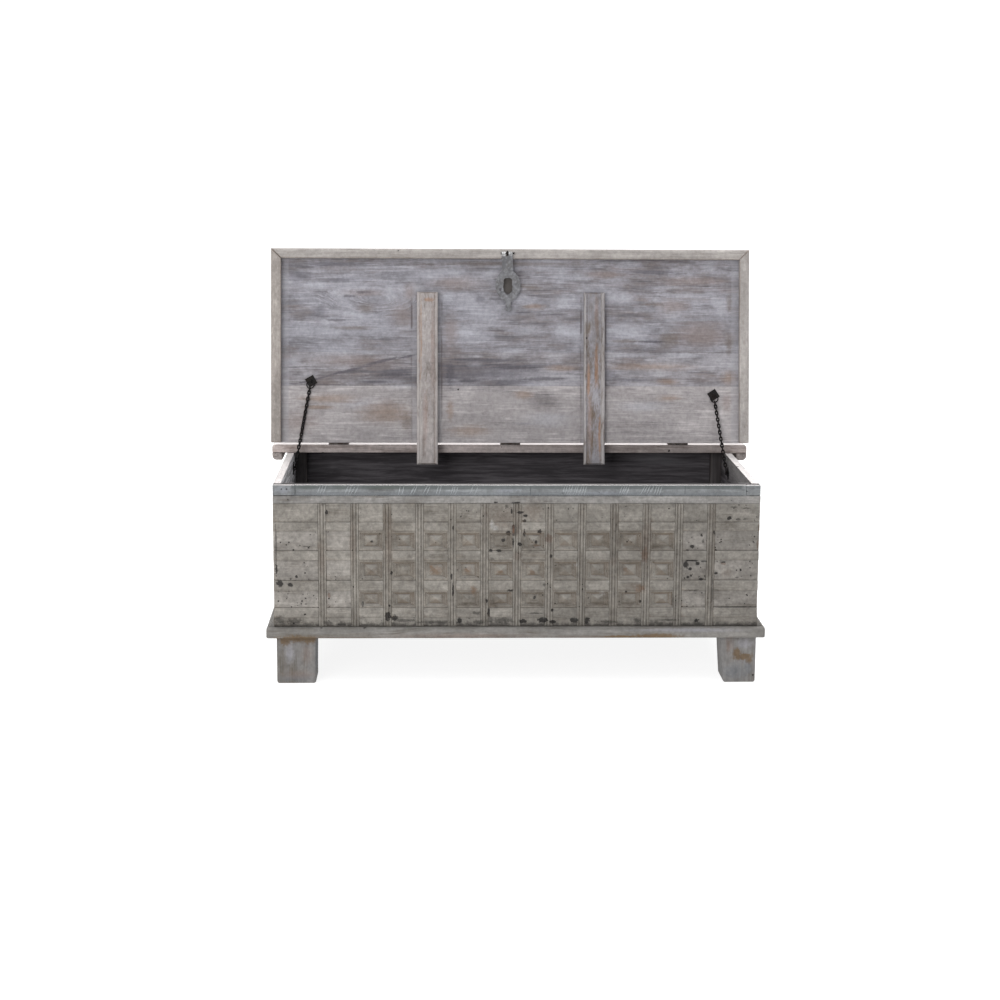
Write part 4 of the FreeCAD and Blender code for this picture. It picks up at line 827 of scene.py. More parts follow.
CLOUDS = (0.74, 1.18)
lid_boards = [
    ("lid_plank_front", 2.4, LILAC, 0.62, 1.0, CLOUDS, (WHIRL,)),
    ("lid_plank_third", 2.4, LILAC, 0.64, 0.95, CLOUDS, (WHIRL,)),
    ("lid_plank_second", 9.7, (0.275, 0.266, 0.286), 0.60, 1.1, CLOUDS, ()),
    ("lid_plank_rear", 12.1, (0.365, 0.340, 0.342), 0.84, 0.5, (0.88, 1.08), ()),
]
for node, seed, lime, cover, patches, clouds, whirls in lid_boards:
    finish = painted_wood(f"{node}_finish", "X", seed, lime, old=(0.125, 0.115, 0.125),
                          young=(0.235, 0.19, 0.178), cover=cover, patches=patches, grit=1.05, chalk=0.8,
                          clouds=clouds, drift=(1.02, 1.12), specks=0.003, edges=0.1, edge_radius=0.0015,
                          dirt_and_shade=0.3, dirt_and_shade_depth=0.2, marks=LID_MARKS, whorls=whirls, shade=unsanded_strips)
    worn_copy(node, finish, "lid", 0, depth=0, shape=close_seams)
print("lid boards:", len(lid_boards))

# %% [markdown]
# ## Lips and battens
# Three strips frame the lid and overhang the box when it is shut. Two battens hold the boards together and
# hang a little below them. A scratch plane ran two reeds along each batten, near its edges: two upright
# bisects make the lines of a reed, and the line between them is pushed into the wood.

# %% Lips and battens
def reeds(piece, shares=(0.16, 0.84), half=0.0022, deep=0.0022):
    """Cuts upright V grooves into the front face of a batten, at shares of its width."""
    face = max((f for f in piece.data.polygons if f.normal.y < -0.5), key=lambda f: f.area)
    normal, place = face.normal.copy(), face.center.copy()
    low = min(v.co.x for v in piece.data.vertices)
    high = max(v.co.x for v in piece.data.vertices)
    for share in shares:
        middle = low + (high - low) * share
        for side in (-half, 0, half):
            edit_only(piece, "polygons", lambda f: f.normal.dot(normal) > 0.99, bpy.ops.mesh.bisect,
                      plane_co=(middle + side, 0, 0), plane_no=(1, 0, 0))
        edit_only(piece, "vertices",
                  lambda v: abs(v.co.x - middle) < 1e-5 and abs((v.co - place).dot(normal)) < 1e-4,
                  bpy.ops.transform.translate, value=normal * -deep)


LIP = (0.350, 0.327, 0.312)
lip_look = dict(old=(0.20, 0.16, 0.13), young=(0.30, 0.22, 0.17), cover=0.88, patches=0.45, edges=0.85,
                edge_radius=0.004, edge_tint=(0.20, 0.115, 0.07), specks=0.004, dirt_and_shade_depth=0.4)
lip_finish = painted_wood("lip_finish", "X", 21.0, LIP, **lip_look)
worn_copy("lid_lip_front", lip_finish, "lid", 0.0020, ((0, 0.03),), 0.0006, 0.05)
for side, lime in (("left", (0.330, 0.300, 0.280)), ("right", (0.40, 0.375, 0.36))):
    lip_side_finish = painted_wood(f"lip_{side}_finish", "Z", 24.0, lime, **lip_look)
    worn_copy(f"lid_lip_{side}", lip_side_finish, "lid", 0.0020, ((2, 0.03),), 0.0006, 0.05)

batten_marks = {
    "Ochre": (RAGGED, [(-205, 856, 13, 5), (-226, 760, 4, 105), (194, 660, 4, 45), (214, 700, 5, 60),
                           (222, 520, 4, 50)]),
    "Rose": (SOFT, [(-196, 740, 5, 110), (-214, 560, 6, 70), (214, 820, 6, 45), (197, 560, 5, 70)]),
    "Umber": (SOFT, [(215, 780, 6, 80), (192, 500, 5, 60), (-219, 500, 4, 40)]),
}
mark_group("batten_marks", batten_marks)


def pale_borders(bench, here, painted, wood, wash):
    """Leaves more wash outside the reeds and on the lower half of a batten."""
    across = bench.math("ABSOLUTE", bench.minus(bench.math("ABSOLUTE", bench.axis(here, 0)), BATTEN_MIDDLE))
    border = bench.times(bench.between(across, 0.0175, 0.0195), bench.between(wood["Streak"], 0.30, 0.6))
    painted = bench.tint(painted, border, 0.55, (0.42, 0.395, 0.38))
    lower = bench.between(bench.axis(here, 2), 0.74, 0.60, 1.0, 1.28)
    return bench.scaled(painted, lower)


BATTENS = [("left", 31.0, (0.335, 0.308, 0.302), (0.31, 0.22, 0.17), 0.86, 0.4),
           ("right", 37.5, (0.285, 0.276, 0.298), (0.20, 0.15, 0.12), 0.70, 0.9)]
for side, seed, lime, young, cover, patches in BATTENS:
    batten = painted_wood(f"batten_{side}_finish", "Z", seed, lime, old=(0.15, 0.115, 0.09), young=young,
                          cover=cover, patches=patches, grit=1.8, edges=0.7, edge_tint=young, specks=0.006,
                          dirt_and_shade_depth=0.45, marks=("batten_marks", {"Ochre": ((0.30, 0.165, 0.095), 0.6),
                                                                   "Rose": ((0.28, 0.20, 0.175), 0.5),
                                                                   "Umber": (UMBER, 0.45)}, 0.5),
                          shade=pale_borders)
    worn_copy(f"lid_batten_{side}", batten, "lid", 0.0012, ((2, 0.02),), 0.0007, 0.03,
              shape=reeds)
print("lips and battens done")

# %% [markdown]
# ## Walls, rail, floor and posts
# The walls are planks with the lime outside and dark wood inside. The rail at the back is fixed, and the lid
# turns on it. The rim is the brightest part of the box, because light falls on it from above, and its faces
# that look up are also painted in a lighter lime with a painted highlight.

# %% Walls and rail
# Lighter lime with a painted highlight, for the faces of the rim that look up
RIM_LIME_AND_HIGHLIGHT = (0.70, 0.665, 0.655)
WALL = (0.25, 0.24, 0.232)
# Inside the left wall, a near white spill: lime and painted light
for side, sign, run, spill_lime_and_light in (("left", 1, 0.15, (0.90, 0.89, 0.91)), ("right", -1, 0.08, None)):
    for level_name, seed in (("lower", 41.0), ("upper", 44.0)):
        finish = painted_wood(f"{side}_side_{level_name}_finish", "Y", seed + sign, WALL, cover=0.75,
                              patches=0.6, specks=0.05, inside=dark_inside(0, sign, run=run, spill_lime_and_light=spill_lime_and_light),
                              top_lime_and_highlight=RIM_LIME_AND_HIGHLIGHT)
        worn_copy(f"{side}_side_{level_name}", finish, "box", 0.0012, ((1, 0.03),),
                  0.0006, 0.06)
for level_name, seed in (("lower", 51.0), ("upper", 54.0)):
    finish = painted_wood(f"rear_plank_{level_name}_finish", "X", seed, WALL, cover=0.75, patches=0.6,
                          specks=0.05, inside=dark_inside(1, -1, run=0.012))
    worn_copy(f"rear_plank_{level_name}", finish, "box", 0.0012, ((0, 0.03),), 0.0006,
              0.06)


def ledge_highlight_and_side_shade(bench, here, painted, wood, wash):
    """White lime and painted highlight on the front of the rail's top; other faces painted darker, as shade.
    """
    normal = bench.add("SeparateXYZ", {0: bench.normal()}).outputs
    ragged = bench.plus(bench.axis(here, 1), bench.times(wash["Cloud"], 0.02))
    white = bench.times(bench.between(ragged, 0.226, 0.206), bench.between(normal[2], 0.55, 0.85))
    rest = bench.scaled(painted, bench.between(normal[1], -0.7, -0.3, 1.0, 0.72))
    return bench.mix(white, rest, colour(*RIM_LIME_AND_HIGHLIGHT))


# The rail's front face has a lighter lime than its other faces: painted light where the lid shades it
rail_finish = painted_wood("rail_finish", "X", 61.0, (0.52, 0.458, 0.44), old=(0.24, 0.185, 0.165),
                           cover=0.76, patches=0.6, edges=0.7, specks=0.02, drift=(1.30, 1.00),
                           shade=ledge_highlight_and_side_shade)
worn_copy("rear_rail", rail_finish, "box", 0.0018, ((0, 0.03),), 0.0006, 0.05)
worn_copy("rail_lip_rear", rail_finish, "box", 0.0018, ((0, 0.03),), 0.0006, 0.05)
rail_side_finish = painted_wood("rail_side_finish", "Y", 64.0, (0.38, 0.34, 0.33), cover=0.7, patches=0.5,
                                edges=0.7)
for side in ("left", "right"):
    worn_copy(f"rail_lip_{side}", rail_side_finish, "box", 0.0018, ((1, 0.02),), 0.0006,
              0.05)
print("walls and rail done")


# %% Floor boards, ledgers and posts
def old_wood(name, grain, seed, dark=(0.040, 0.036, 0.037), pale=(0.100, 0.092, 0.095)):
    """Unpainted wood, dark with age, worn on its edges, with dirt and painted shade in its corners."""
    made, bench, shader, here = start_finish(name)
    along = bench.place(here, turn=TURN_TO_X[grain])
    wood = bench.group("wood_grain", {"Vector": along, "Seed": seed}).outputs
    tint = bench.mix(bench.between(wood["Streak"], 0.3, 0.7), colour(*dark), colour(*pale))
    tint = bench.mix(bench.times(wood["Figure"], 0.4), tint, shaded(dark, 0.6))
    worn = bench.group("edge_wear", {"Vector": here, "Radius": 0.003, "Amount": 0.6}).outputs[0]
    tint = bench.tint(tint, worn, 0.5, (0.14, 0.105, 0.08))
    # Dirt and painted shade in the corners
    dirt_and_shade_mask = bench.group("corner_dirt_and_shade", {"Vector": here, "Amount": 0.5}).outputs[0]
    tint = bench.tint(tint, dirt_and_shade_mask, 0.7, (0.01, 0.008, 0.007))
    relief = bench.plus(bench.times(wood["Fibre"], 0.4), wood["Streak"])
    bump = bench.add("Bump", {"Height": relief, "Strength": 0.4, "Distance": 0.001}).outputs[0]
    bench.fill(shader, {"Base Color": tint, "Roughness": bench.blur(wood["Streak"], 0.6, 0.85),
                        "Normal": bump})
    return made


dark_across = old_wood("dark_across", "X", 71.0)
dark_upright = old_wood("dark_upright", "Z", 74.0, (0.055, 0.048, 0.048), (0.14, 0.125, 0.125))
for node in ("floor_board_front", "floor_board_middle", "floor_board_rear"):
    worn_copy(node, dark_across, "box", 0.001, ((0, 0.05),), 0.0005, 0.06)
worn_copy("floor_ledgers", dark_across, "box", 0.001, ((0, 0.08),), 0.0005, 0.06)
worn_copy("corner_posts", dark_upright, "box", 0.002, ((2, 0.03),), 0.0008, 0.04)
print("floor boards, ledgers and posts done")

# %% [markdown]
# ## The carved front
# The front is a collage of old carving: a rail with cut strokes on top, a plain light bead, a row of frieze
# blocks, and three rows of nailhead tiles between bars, divided by narrow upright strips. All of it is one
# warm grey, browner where hands and brooms have rubbed and, as painted shade, on slopes that face down or
# to the left, with a painted highlight on slopes that face up, and with chips that show black.

# %% Front boards, bars and blocks
WARM = (0.222, 0.207, 0.186)
FRONT_MARKS = ("front_marks", {"Umber": (UMBER, 0.45), "Ochre": ((0.15, 0.090, 0.055), 0.6),
                               "Chalk": (CHALK, 0.35), "Rust": ((0.105, 0.062, 0.042), 0.55),
                               "Dark": (SOOT, 0.6), "Chips": (SOOT, 0.93)}, 0.0)
front_look = dict(old=(0.105, 0.088, 0.070), young=(0.160, 0.128, 0.098), patches=0.7, grit=0.7, chalk=0.35,
                  mottle=0.85, dirt_and_shade_tint=(0.075, 0.058, 0.044), marks=FRONT_MARKS, speck_scale=150.0)


def slope_shade_and_wear(bench, here, painted, wood, wash):
    """Brown wear and painted shade on slopes facing down or left; painted highlight on slopes facing up or
    right.
    """
    normal = bench.add("SeparateXYZ", {0: bench.normal()})
    lean = bench.plus(bench.times(normal.outputs[2], -1.0), bench.times(normal.outputs[0], -0.7))
    # Browner on slopes that face down or to the left: partly raw wood, partly painted shade
    rubbed = bench.times(bench.between(lean, 0.12, 0.34), bench.between(wash["Cloud"], 0.36, 0.56))
    painted = bench.tint(painted, rubbed, 0.5, (0.13, 0.095, 0.068))
    # A painted highlight on slopes that face up or to the right
    painted_highlight = bench.times(bench.between(lean, -0.12, -0.30), bench.between(wash["Cloud"], 0.36, 0.54))
    painted = bench.tint(painted, painted_highlight, 0.35, (0.33, 0.32, 0.30))
    uneven = bench.times(bench.noise(here, 65.0, 4.0, 0.7).outputs[0], 0.045)
    low_dirt = bench.between(bench.minus(bench.axis(here, 2), uneven), 0.1265, 0.1155)
    return bench.tint(painted, low_dirt, 0.6, SOOT)


front_finish = painted_wood("front_finish", "X", 81.0, WARM, cover=0.8, inside=dark_inside(1, 1),
                            dirt_and_shade_depth=0.3, **front_look)
for node in ("front_board_lower", "front_board_upper"):
    worn_copy(node, front_finish, "box", 0.0008, ((0, 0.05),), 0.0004, 0.06)
carving = painted_wood("carving_finish", "X", 84.0, WARM, cover=0.84, edges=0.6, edge_radius=0.0012,
                       specks=0.10, dirt_and_shade_depth=0.2, drift=(1.08, 0.88), tone=0.05, shade=slope_shade_and_wear,
                       **front_look)
end_finish = painted_wood("end_finish", "X", 85.0, (0.236, 0.220, 0.202), cover=0.84, edges=0.8,
                          edge_radius=0.0015, specks=0.16, dirt_and_shade_depth=0.2, drift=(1.16, 0.86), tone=0.05,
                          shade=slope_shade_and_wear, **front_look)
upright_carving = painted_wood("strip_finish", "Z", 87.0, WARM, cover=0.80, edges=0.6, edge_radius=0.0014,
                               edge_tint=(0.165, 0.132, 0.100), specks=0.08, dirt_and_shade_depth=0.1,
                               drift=(1.08, 0.88), tone=0.05, **front_look)
for node, parts, finish in (("frieze_blocks", 11, carving), ("plain_field_blocks", 12, end_finish),
                            ("bottom_blocks", 13, carving), ("crossbars", 14, carving)):
    worn_copy(node, finish, "box", 0.0006, ((0, 0.02),), 0.0003, 0.03, parts)
worn_copy("dividing_strips", upright_carving, "box", 0.0006, ((2, 0.01),), 0.0003, 0.02,
          16)
bead_finish = painted_wood("bead_finish", "X", 90.0, (0.226, 0.218, 0.209), old=(0.14, 0.12, 0.10),
                           cover=0.88, drift=(0.93, 1.02), patches=0.8, mottle=0.8, edges=0.4, specks=0.06,
                           speck_scale=150.0, dirt_and_shade_depth=0.3, marks=FRONT_MARKS)
worn_copy("front_bead", bead_finish, "box", 0.0012, ((0, 0.02),), 0.0006, 0.03)
print("boards, bars, blocks, strips and bead done")

# %% [markdown]
# ## Strokes in the top rail
# Groups of slanted strokes were cut into the top rail with a gouge. One slim wedge stands for the gouge: a
# bar turned on its edge, with both ends drawn thin. A copy of it for each stroke is taken out of the rail.
# Lime has stayed in the cuts, so what is dirt and painted shade in the corners of other boards is pale here.

# %% Cut strokes
STROKE_GROUPS = [(-457, 3, 7), (-392, 4, 7), (-272, 2, 8), (-242, 2, 7), (-212, 2, 7), (-184, 2, 7),
                 (-151, 3, 5), (-105, 2, 10), (105, 9, 6.5), (237, 4, 6), (290, 4, 6), (311, 4, 6.5)]
STROKE_WIDE, STROKE_TALL, STROKE_MIDDLE, STROKE_LEAN = 0.0031, 0.0225, 0.4590, 22


def one_wedge():
    """The gouge: a slim bar turned on its edge, cut across its middle, with both ends drawn thin."""
    bpy.ops.object.select_all(action="DESELECT")
    bpy.ops.mesh.primitive_cube_add(size=1, location=(0, 0, 0))
    wedge = bpy.context.object
    wedge.name = "gouge"
    bpy.ops.transform.resize(value=(STROKE_WIDE, STROKE_WIDE, STROKE_TALL))
    bpy.ops.object.transform_apply(location=True, rotation=True, scale=True)
    bpy.ops.object.mode_set(mode="EDIT")
    bpy.ops.mesh.select_all(action="SELECT")
    bpy.ops.transform.rotate(value=math.radians(45), orient_axis="Z", center_override=(0, 0, 0))
    bpy.ops.mesh.bisect(plane_co=(0, 0, 0), plane_no=(0, 0, 1))
    bpy.ops.object.mode_set(mode="OBJECT")
    for sign in (-1, 1):
        edit_only(wedge, "polygons", lambda f: f.normal.z * sign > 0.9, bpy.ops.transform.resize,
                  value=(0.4, 0.4, 1), center_override=(0, 0, 0))
    return wedge


def cut_strokes(piece):
    """Takes every stroke out of the front face of the top rail."""
    draw = random.Random(5)
    face = min(v.co.y for v in piece.data.vertices)
    wedge = one_wedge()
    copies = []
    for first, count, pitch in STROKE_GROUPS:
        lean = STROKE_LEAN * draw.uniform(0.7, 1.2)
        for number in range(count):
            place = Vector(((first + number * pitch) * MM + draw.uniform(-0.0008, 0.0008), face - 0.0007,
                            STROKE_MIDDLE + draw.uniform(-0.0015, 0.0015)))
            turned = Matrix.Rotation(math.radians(lean + draw.uniform(-4, 4)), 4, "Y")
            copy = bpy.data.objects.new("gouge", wedge.data.copy())
            copy.data.transform(Matrix.Translation(place) @ turned)
            scene.collection.objects.link(copy)
            copies.append(copy)
    select_only(*copies)
    bpy.ops.object.join()
    gouges = bpy.context.object
    before = len(piece.data.polygons)
    use_modifier(piece, "BOOLEAN", operation="DIFFERENCE", object=gouges, solver="EXACT", use_self=True)
    bpy.data.objects.remove(gouges)
    bpy.data.objects.remove(wedge)
    print("strokes:", sum(group[1] for group in STROKE_GROUPS), "rail faces:", before, "->",
          len(piece.data.polygons))


rail_marks = {
    "Green": (SOFT, [(-484, 466, 22, 6), (-406, 466, 13, 5), (-300, 466, 60, 4)]),
    "Lilac": (SOFT, [(-24, 460, 26, 9), (-540, 458, 18, 9), (200, 452, 60, 4)]),
    "Line": (CRISP, [(0, 446.5, 700, 1.6), (30, 459, 1.6, 13), (-510, 459, 1.5, 14), (387, 459, 1.0, 13)]),
    "Nails": (CRISP, [(-542, 461, 2, 2), (-530, 461, 2, 2), (530, 457, 2, 2)]),
}
mark_group("rail_marks", rail_marks)


def green_bands(bench, here, painted, wood):
    """Darkens the top and, less, the foot of the rail's front, but not its end pieces, and limes the cuts."""
    high = bench.plus(bench.axis(here, 2), bench.times(wood["Streak"], 0.006))
    middle = bench.between(bench.math("ABSOLUTE", bench.axis(here, 0)), 0.522, 0.516)
    top = bench.times(bench.between(high, 0.4625, 0.4665), middle)
    painted = bench.tint(painted, top, 0.62, (0.075, 0.086, 0.084))
    foot = bench.times(bench.between(high, 0.4588, 0.4560), middle)
    painted = bench.tint(painted, foot, 0.35, (0.115, 0.125, 0.14))
    normal = bench.add("SeparateXYZ", {0: bench.normal()})
    in_cut = bench.times(bench.between(bench.math("ABSOLUTE", normal.outputs[0]), 0.30, 0.50), middle)
    return bench.tint(painted, in_cut, 0.6, (0.34, 0.355, 0.365))


def inner_and_upper(bench, here, painted, wood):
    """The dark inner face, and the rail's top: dark, with lime and a painted highlight along its front edge.
    """
    up = bench.between(bench.axis(bench.normal(), 2), 0.55, 0.85)
    # Along the top's front edge: lighter lime with a painted highlight
    top = bench.mix(bench.between(bench.axis(here, 1), -0.2865, -0.2835), shaded(RIM_LIME_AND_HIGHLIGHT, 1.2),
                    colour(0.06, 0.055, 0.055))
    return bench.mix(up, dark_inside(1, 1)(bench, here, green_bands(bench, here, painted, wood), wood), top)


top_rail_finish = painted_wood("top_rail_finish", "X", 93.0, (0.190, 0.198, 0.204), old=(0.10, 0.10, 0.095),
                               young=(0.15, 0.145, 0.13), cover=0.78, patches=0.9, grit=1.4, mottle=0.7,
                               edges=0.4, dirt_and_shade=0.9, dirt_and_shade_depth=0.8, dirt_and_shade_tint=(0.31, 0.325, 0.335),
                               reach=0.003, full=0.25, specks=0.03, inside=inner_and_upper,
                               marks=("rail_marks", {"Green": ((0.115, 0.135, 0.11), 0.5),
                                                     "Lilac": ((0.27, 0.28, 0.31), 0.5),
                                                     "Line": ((0.06, 0.065, 0.065), 0.6),
                                                     "Nails": (SOOT, 0.8)}, 0.0))
worn_copy("front_top_rail", top_rail_finish, "box", 0.0008, ((0, 0.02),), 0.0004, 0.03,
          shape=cut_strokes)
worn_copy("front_top_rail_ends", top_rail_finish, "box", 0.0012, ((0, 0.02),), 0.0005,
          0.03)

# %% [markdown]
# ## Nailhead tiles
# A nailhead is a low pyramid in a sunk frame. One tile is carved from a block: its front face is extruded
# again and again without moving, drawn in to the next rectangle and sunk to the next depth, which leaves a
# rim, two steps and a deep field. The last rectangle is poked, which raises a point in its middle. Its copies
# are fitted to the thirty places of the solid tiles, each a little different, as no carver cuts two alike.

# %% One tile
TILE_WIDE, TILE_TALL, TILE_THICK = 0.058, 0.048, 0.0065
# Each ring is half its width, half its height and its depth below the rim, in mm
TILE_RINGS = [(25.6, 18.8, 0.0), (25.0, 18.0, 1.7), (21.6, 16.6, 1.8), (21.0, 16.0, 3.1), (17.8, 14.4, 3.2),
              (17.2, 13.8, 4.6), (14.4, 12.4, 4.7)]
POINT_RISE = 0.0050


def carved_tile():
    """One tile with its middle at the origin and the plane of its rim at y = 0, facing -Y."""
    bpy.ops.object.select_all(action="DESELECT")
    bpy.ops.mesh.primitive_cube_add(size=1, location=(0, TILE_THICK / 2, 0))
    tile = bpy.context.object
    tile.name = "pattern_tile"
    bpy.ops.transform.resize(value=(TILE_WIDE, TILE_THICK, TILE_TALL))
    bpy.ops.object.transform_apply(location=True, rotation=True, scale=True)
    select_in_edit(tile, "polygons", lambda f: f.normal.y < -0.9)
    now_wide, now_tall, now_deep = TILE_WIDE / 2, TILE_TALL / 2, 0.0
    for wide, tall, deep in TILE_RINGS:
        bpy.ops.mesh.extrude_region_move()
        bpy.ops.transform.resize(value=(wide * MM / now_wide, 1, tall * MM / now_tall),
                                 center_override=(0, 0, 0))
        bpy.ops.transform.translate(value=(0, deep * MM - now_deep, 0))
        now_wide, now_tall, now_deep = wide * MM, tall * MM, deep * MM
    bpy.ops.mesh.poke(offset=POINT_RISE)
    bpy.ops.object.mode_set(mode="OBJECT")
    tip = min(v.co.y for v in tile.data.vertices)
    select_in_edit(tile, "vertices", lambda v: v.co.y < tip + 1e-6)
    bpy.ops.mesh.bevel(offset=0.0016, affect="VERTICES")
    bpy.ops.mesh.select_all(action="SELECT")
    bpy.ops.mesh.normals_make_consistent(inside=False)
    bpy.ops.object.mode_set(mode="OBJECT")
    return tile


pattern_tile = carved_tile()
print("one tile:", len(pattern_tile.data.polygons), "faces")


# %% Set the tiles
def loose_parts(node):
    """The corner points of every separate solid of a CAD node."""
    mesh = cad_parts[node].data
    numbers = {}
    names = [numbers.setdefault(tuple(round(v, 6) for v in vertex.co),
                                len(numbers)) for vertex in mesh.vertices]
    pairs = ((names[face.vertices[0]], names[v]) for face in mesh.polygons for v in face.vertices[1:])
    roots = find_roots(len(numbers), pairs)
    parts = {}
    for key, number in numbers.items():
        parts.setdefault(roots[number], []).append(Vector(key))
    return list(parts.values())


# In the tiles the corner mask paints a dark line into each step: painted shade and dirt
tile_finish = painted_wood("tile_finish", "X", 86.0, (0.195, 0.178, 0.156), cover=0.80, edges=0.7,
                           edge_radius=0.001, specks=0.10, dirt_and_shade=0.75, dirt_and_shade_depth=0.8, reach=0.005, full=0.30,
                           drift=(1.06, 0.90), tone=0.08, shade=slope_shade_and_wear, **front_look)


def set_tiles():
    """Fits a copy of the pattern tile into the place of every solid tile."""
    draw = random.Random(30)
    copies = []
    for corners in loose_parts("nailhead_tiles"):
        low = Vector([min(c[i] for c in corners) for i in range(3)])
        high = Vector([max(c[i] for c in corners) for i in range(3)])
        middle, size = (low + high) / 2, high - low
        tile = bpy.data.objects.new("tile", pattern_tile.data.copy())
        rise, slip = draw.uniform(0.75, 1.0), Vector((draw.uniform(-0.0012, 0.0012), 0,
                                                      draw.uniform(-0.001, 0.001)))
        bottom = TILE_RINGS[-1][2] * MM
        for vertex in tile.data.vertices:
            raised = bottom - vertex.co.y
            if raised > 1e-6 and abs(vertex.co.x) < 0.006 and abs(vertex.co.z) < 0.006:
                vertex.co.y = bottom - raised * rise
                vertex.co += slip
            elif vertex.co.y > 1e-6 and vertex.co.y < TILE_THICK - 1e-6:
                vertex.co += Vector([draw.uniform(-0.00025, 0.00025) for _ in range(3)])
        tile.data.transform(Matrix.Translation((middle.x, high.y - TILE_THICK, middle.z))
                            @ Matrix.Diagonal((size.x / TILE_WIDE, 1, size.z / TILE_TALL, 1)))
        scene.collection.objects.link(tile)
        copies.append(tile)
    select_only(*copies)
    bpy.ops.object.join()
    tiles = bpy.context.object
    tiles.name = tiles.data.name = "nailhead_tiles_carved"
    use_modifier(tiles, "BEVEL", width=0.0005, segments=2, limit_method="ANGLE", angle_limit=math.radians(14))
    cross_cuts(tiles, 0, 0.006)
    ripple(tiles, 0.0005, 0.016, "waves_16")
    tone_each_part(tiles, 15)
    smooth_by_angle(tiles, 40)
    tiles.data.materials.clear()
    tiles.data.materials.append(tile_finish)
    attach(tiles, "box")
    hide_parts("nailhead_tiles")
    return tiles, len(copies)


tiles, count = set_tiles()
bpy.data.objects.remove(pattern_tile)
print(count, "tiles,", len(tiles.data.polygons), "faces")

# %% [markdown]
# ## Base mouldings and feet
# The base is a rounded moulding all round, and the feet are blocks of wood whose lower corners have been
# knocked round on stone floors. Brown marks at the feet's tops and along the foot of the front moulding are
# partly stain and partly painted shade under the moulding, a pale band on its upper rounding is partly lime
# and partly painted highlight, and damp has left grey stains at the feet's bottoms.

# %% Base mouldings and feet
BASE = (0.200, 0.192, 0.182)
BASE_MARKS = ("base_marks", {"Chalk": ((0.29, 0.285, 0.315), 0.45), "Umber": (UMBER, 0.6),
                             "Ochre": ((0.125, 0.082, 0.045), 0.85), "Slate": ((0.12, 0.13, 0.145), 0.55),
                             "Rose": ((0.20, 0.15, 0.13), 0.4)}, 0.25)
base_look = dict(old=(0.11, 0.095, 0.075), young=(0.18, 0.145, 0.11), patches=0.6, chalk=0.4, dirt_and_shade_depth=0.4,
                 marks=BASE_MARKS)
base_finish = painted_wood("base_finish", "X", 101.0, BASE, cover=0.80, edges=0.6, specks=0.03, **base_look)
base_side_finish = painted_wood("base_side_finish", "Y", 104.0, BASE, cover=0.80, edges=0.6, specks=0.03,
                                **base_look)
for node in ("base_moulding_front", "base_moulding_rear"):
    worn_copy(node, base_finish, "box", 0.0055, ((0, 0.03),), 0.0006, 0.04, segments=4)
for node in ("base_moulding_left", "base_moulding_right"):
    worn_copy(node, base_side_finish, "box", 0.0012, ((1, 0.03),), 0.0006, 0.04)


CORNER_ROUND, SOLE_TOP = 0.006, 0.05
INNER_SHIFT, SOLE_SHIFT, OUTER_SHIFT = 0.008, 0.003, 0.005


def knock_round(piece):
    """Cuts the two lower corners of a foot away along a circle, one flat after another."""
    bottom = min(v.co.z for v in piece.data.vertices)
    soles = [v.co.x for v in piece.data.vertices if v.co.z < bottom + 0.01]
    for sign, side in ((-1, min(soles)), (1, max(soles))):
        centre = Vector((side - sign * CORNER_ROUND, 0, bottom + CORNER_ROUND))
        for degrees in (15, 35, 55, 75):
            square_to = Vector((sign * math.sin(math.radians(degrees)), 0, -math.cos(math.radians(degrees))))
            edit_only(piece, "polygons", lambda f: True, bpy.ops.mesh.bisect, clear_outer=True, use_fill=True,
                      plane_co=centre + square_to * CORNER_ROUND, plane_no=square_to)


def knock_and_lean(piece):
    """Moves the sides of the right front foot a little further out, its inner side more near the floor."""
    sides = [v.co.x for v in piece.data.vertices]
    middle = (min(sides) + max(sides)) / 2
    for test, shift in ((lambda v: v.co.x < middle, INNER_SHIFT),
                        (lambda v: v.co.x < middle and v.co.z < SOLE_TOP, SOLE_SHIFT),
                        (lambda v: v.co.x > middle, OUTER_SHIFT)):
        edit_only(piece, "vertices", test, bpy.ops.transform.translate, value=(shift, 0, 0))
    knock_round(piece)


for number, node in enumerate(("foot_front_left", "foot_front_right", "foot_rear_left", "foot_rear_right")):
    foot_finish = painted_wood(f"{node}_finish", "Z", 111.0 + 3 * number, (0.190, 0.184, 0.181), cover=0.74,
                               edges=0.6, specks=0.04, **base_look)
    worn_copy(node, foot_finish, "box", 0.0020, ((2, 0.012),), 0.0009, 0.04,
              shape=knock_and_lean if node == "foot_front_right" else knock_round)
print("base and feet done")

# %% [markdown]
# ## Iron
# The chains are black, the hasp is grey with old lime in its hammer marks, and the hinges and nails are
# rusty. All are the same hammered iron, with more or less rust and dust.

# %% Iron finishes
bench, given, out = start_group(
    "hammered", [("Vector", VECTOR, None), ("Scale", FLOAT, 60.0)],
    [("Dents", FLOAT), ("Rust", FLOAT), ("Dust", FLOAT)])
dent = bench.cells(given.outputs["Vector"], given.outputs["Scale"]).outputs["Distance"]
pits = bench.noise(given.outputs["Vector"], 260.0, 3.0, 0.6).outputs[0]
rust = bench.noise(given.outputs["Vector"], 75.0, 4.0, 0.65).outputs[0]
dust = bench.noise(bench.place(given.outputs["Vector"], shift=(4, 7, 2)), 42.0, 3.0, 0.6).outputs[0]
bench.fill(out, {"Dents": bench.plus(bench.times(dent, 0.6), bench.times(pits, 0.4))})
bench.fill(out, {"Rust": bench.between(rust, 0.42, 0.62)})
bench.fill(out, {"Dust": bench.between(dust, 0.38, 0.66)})


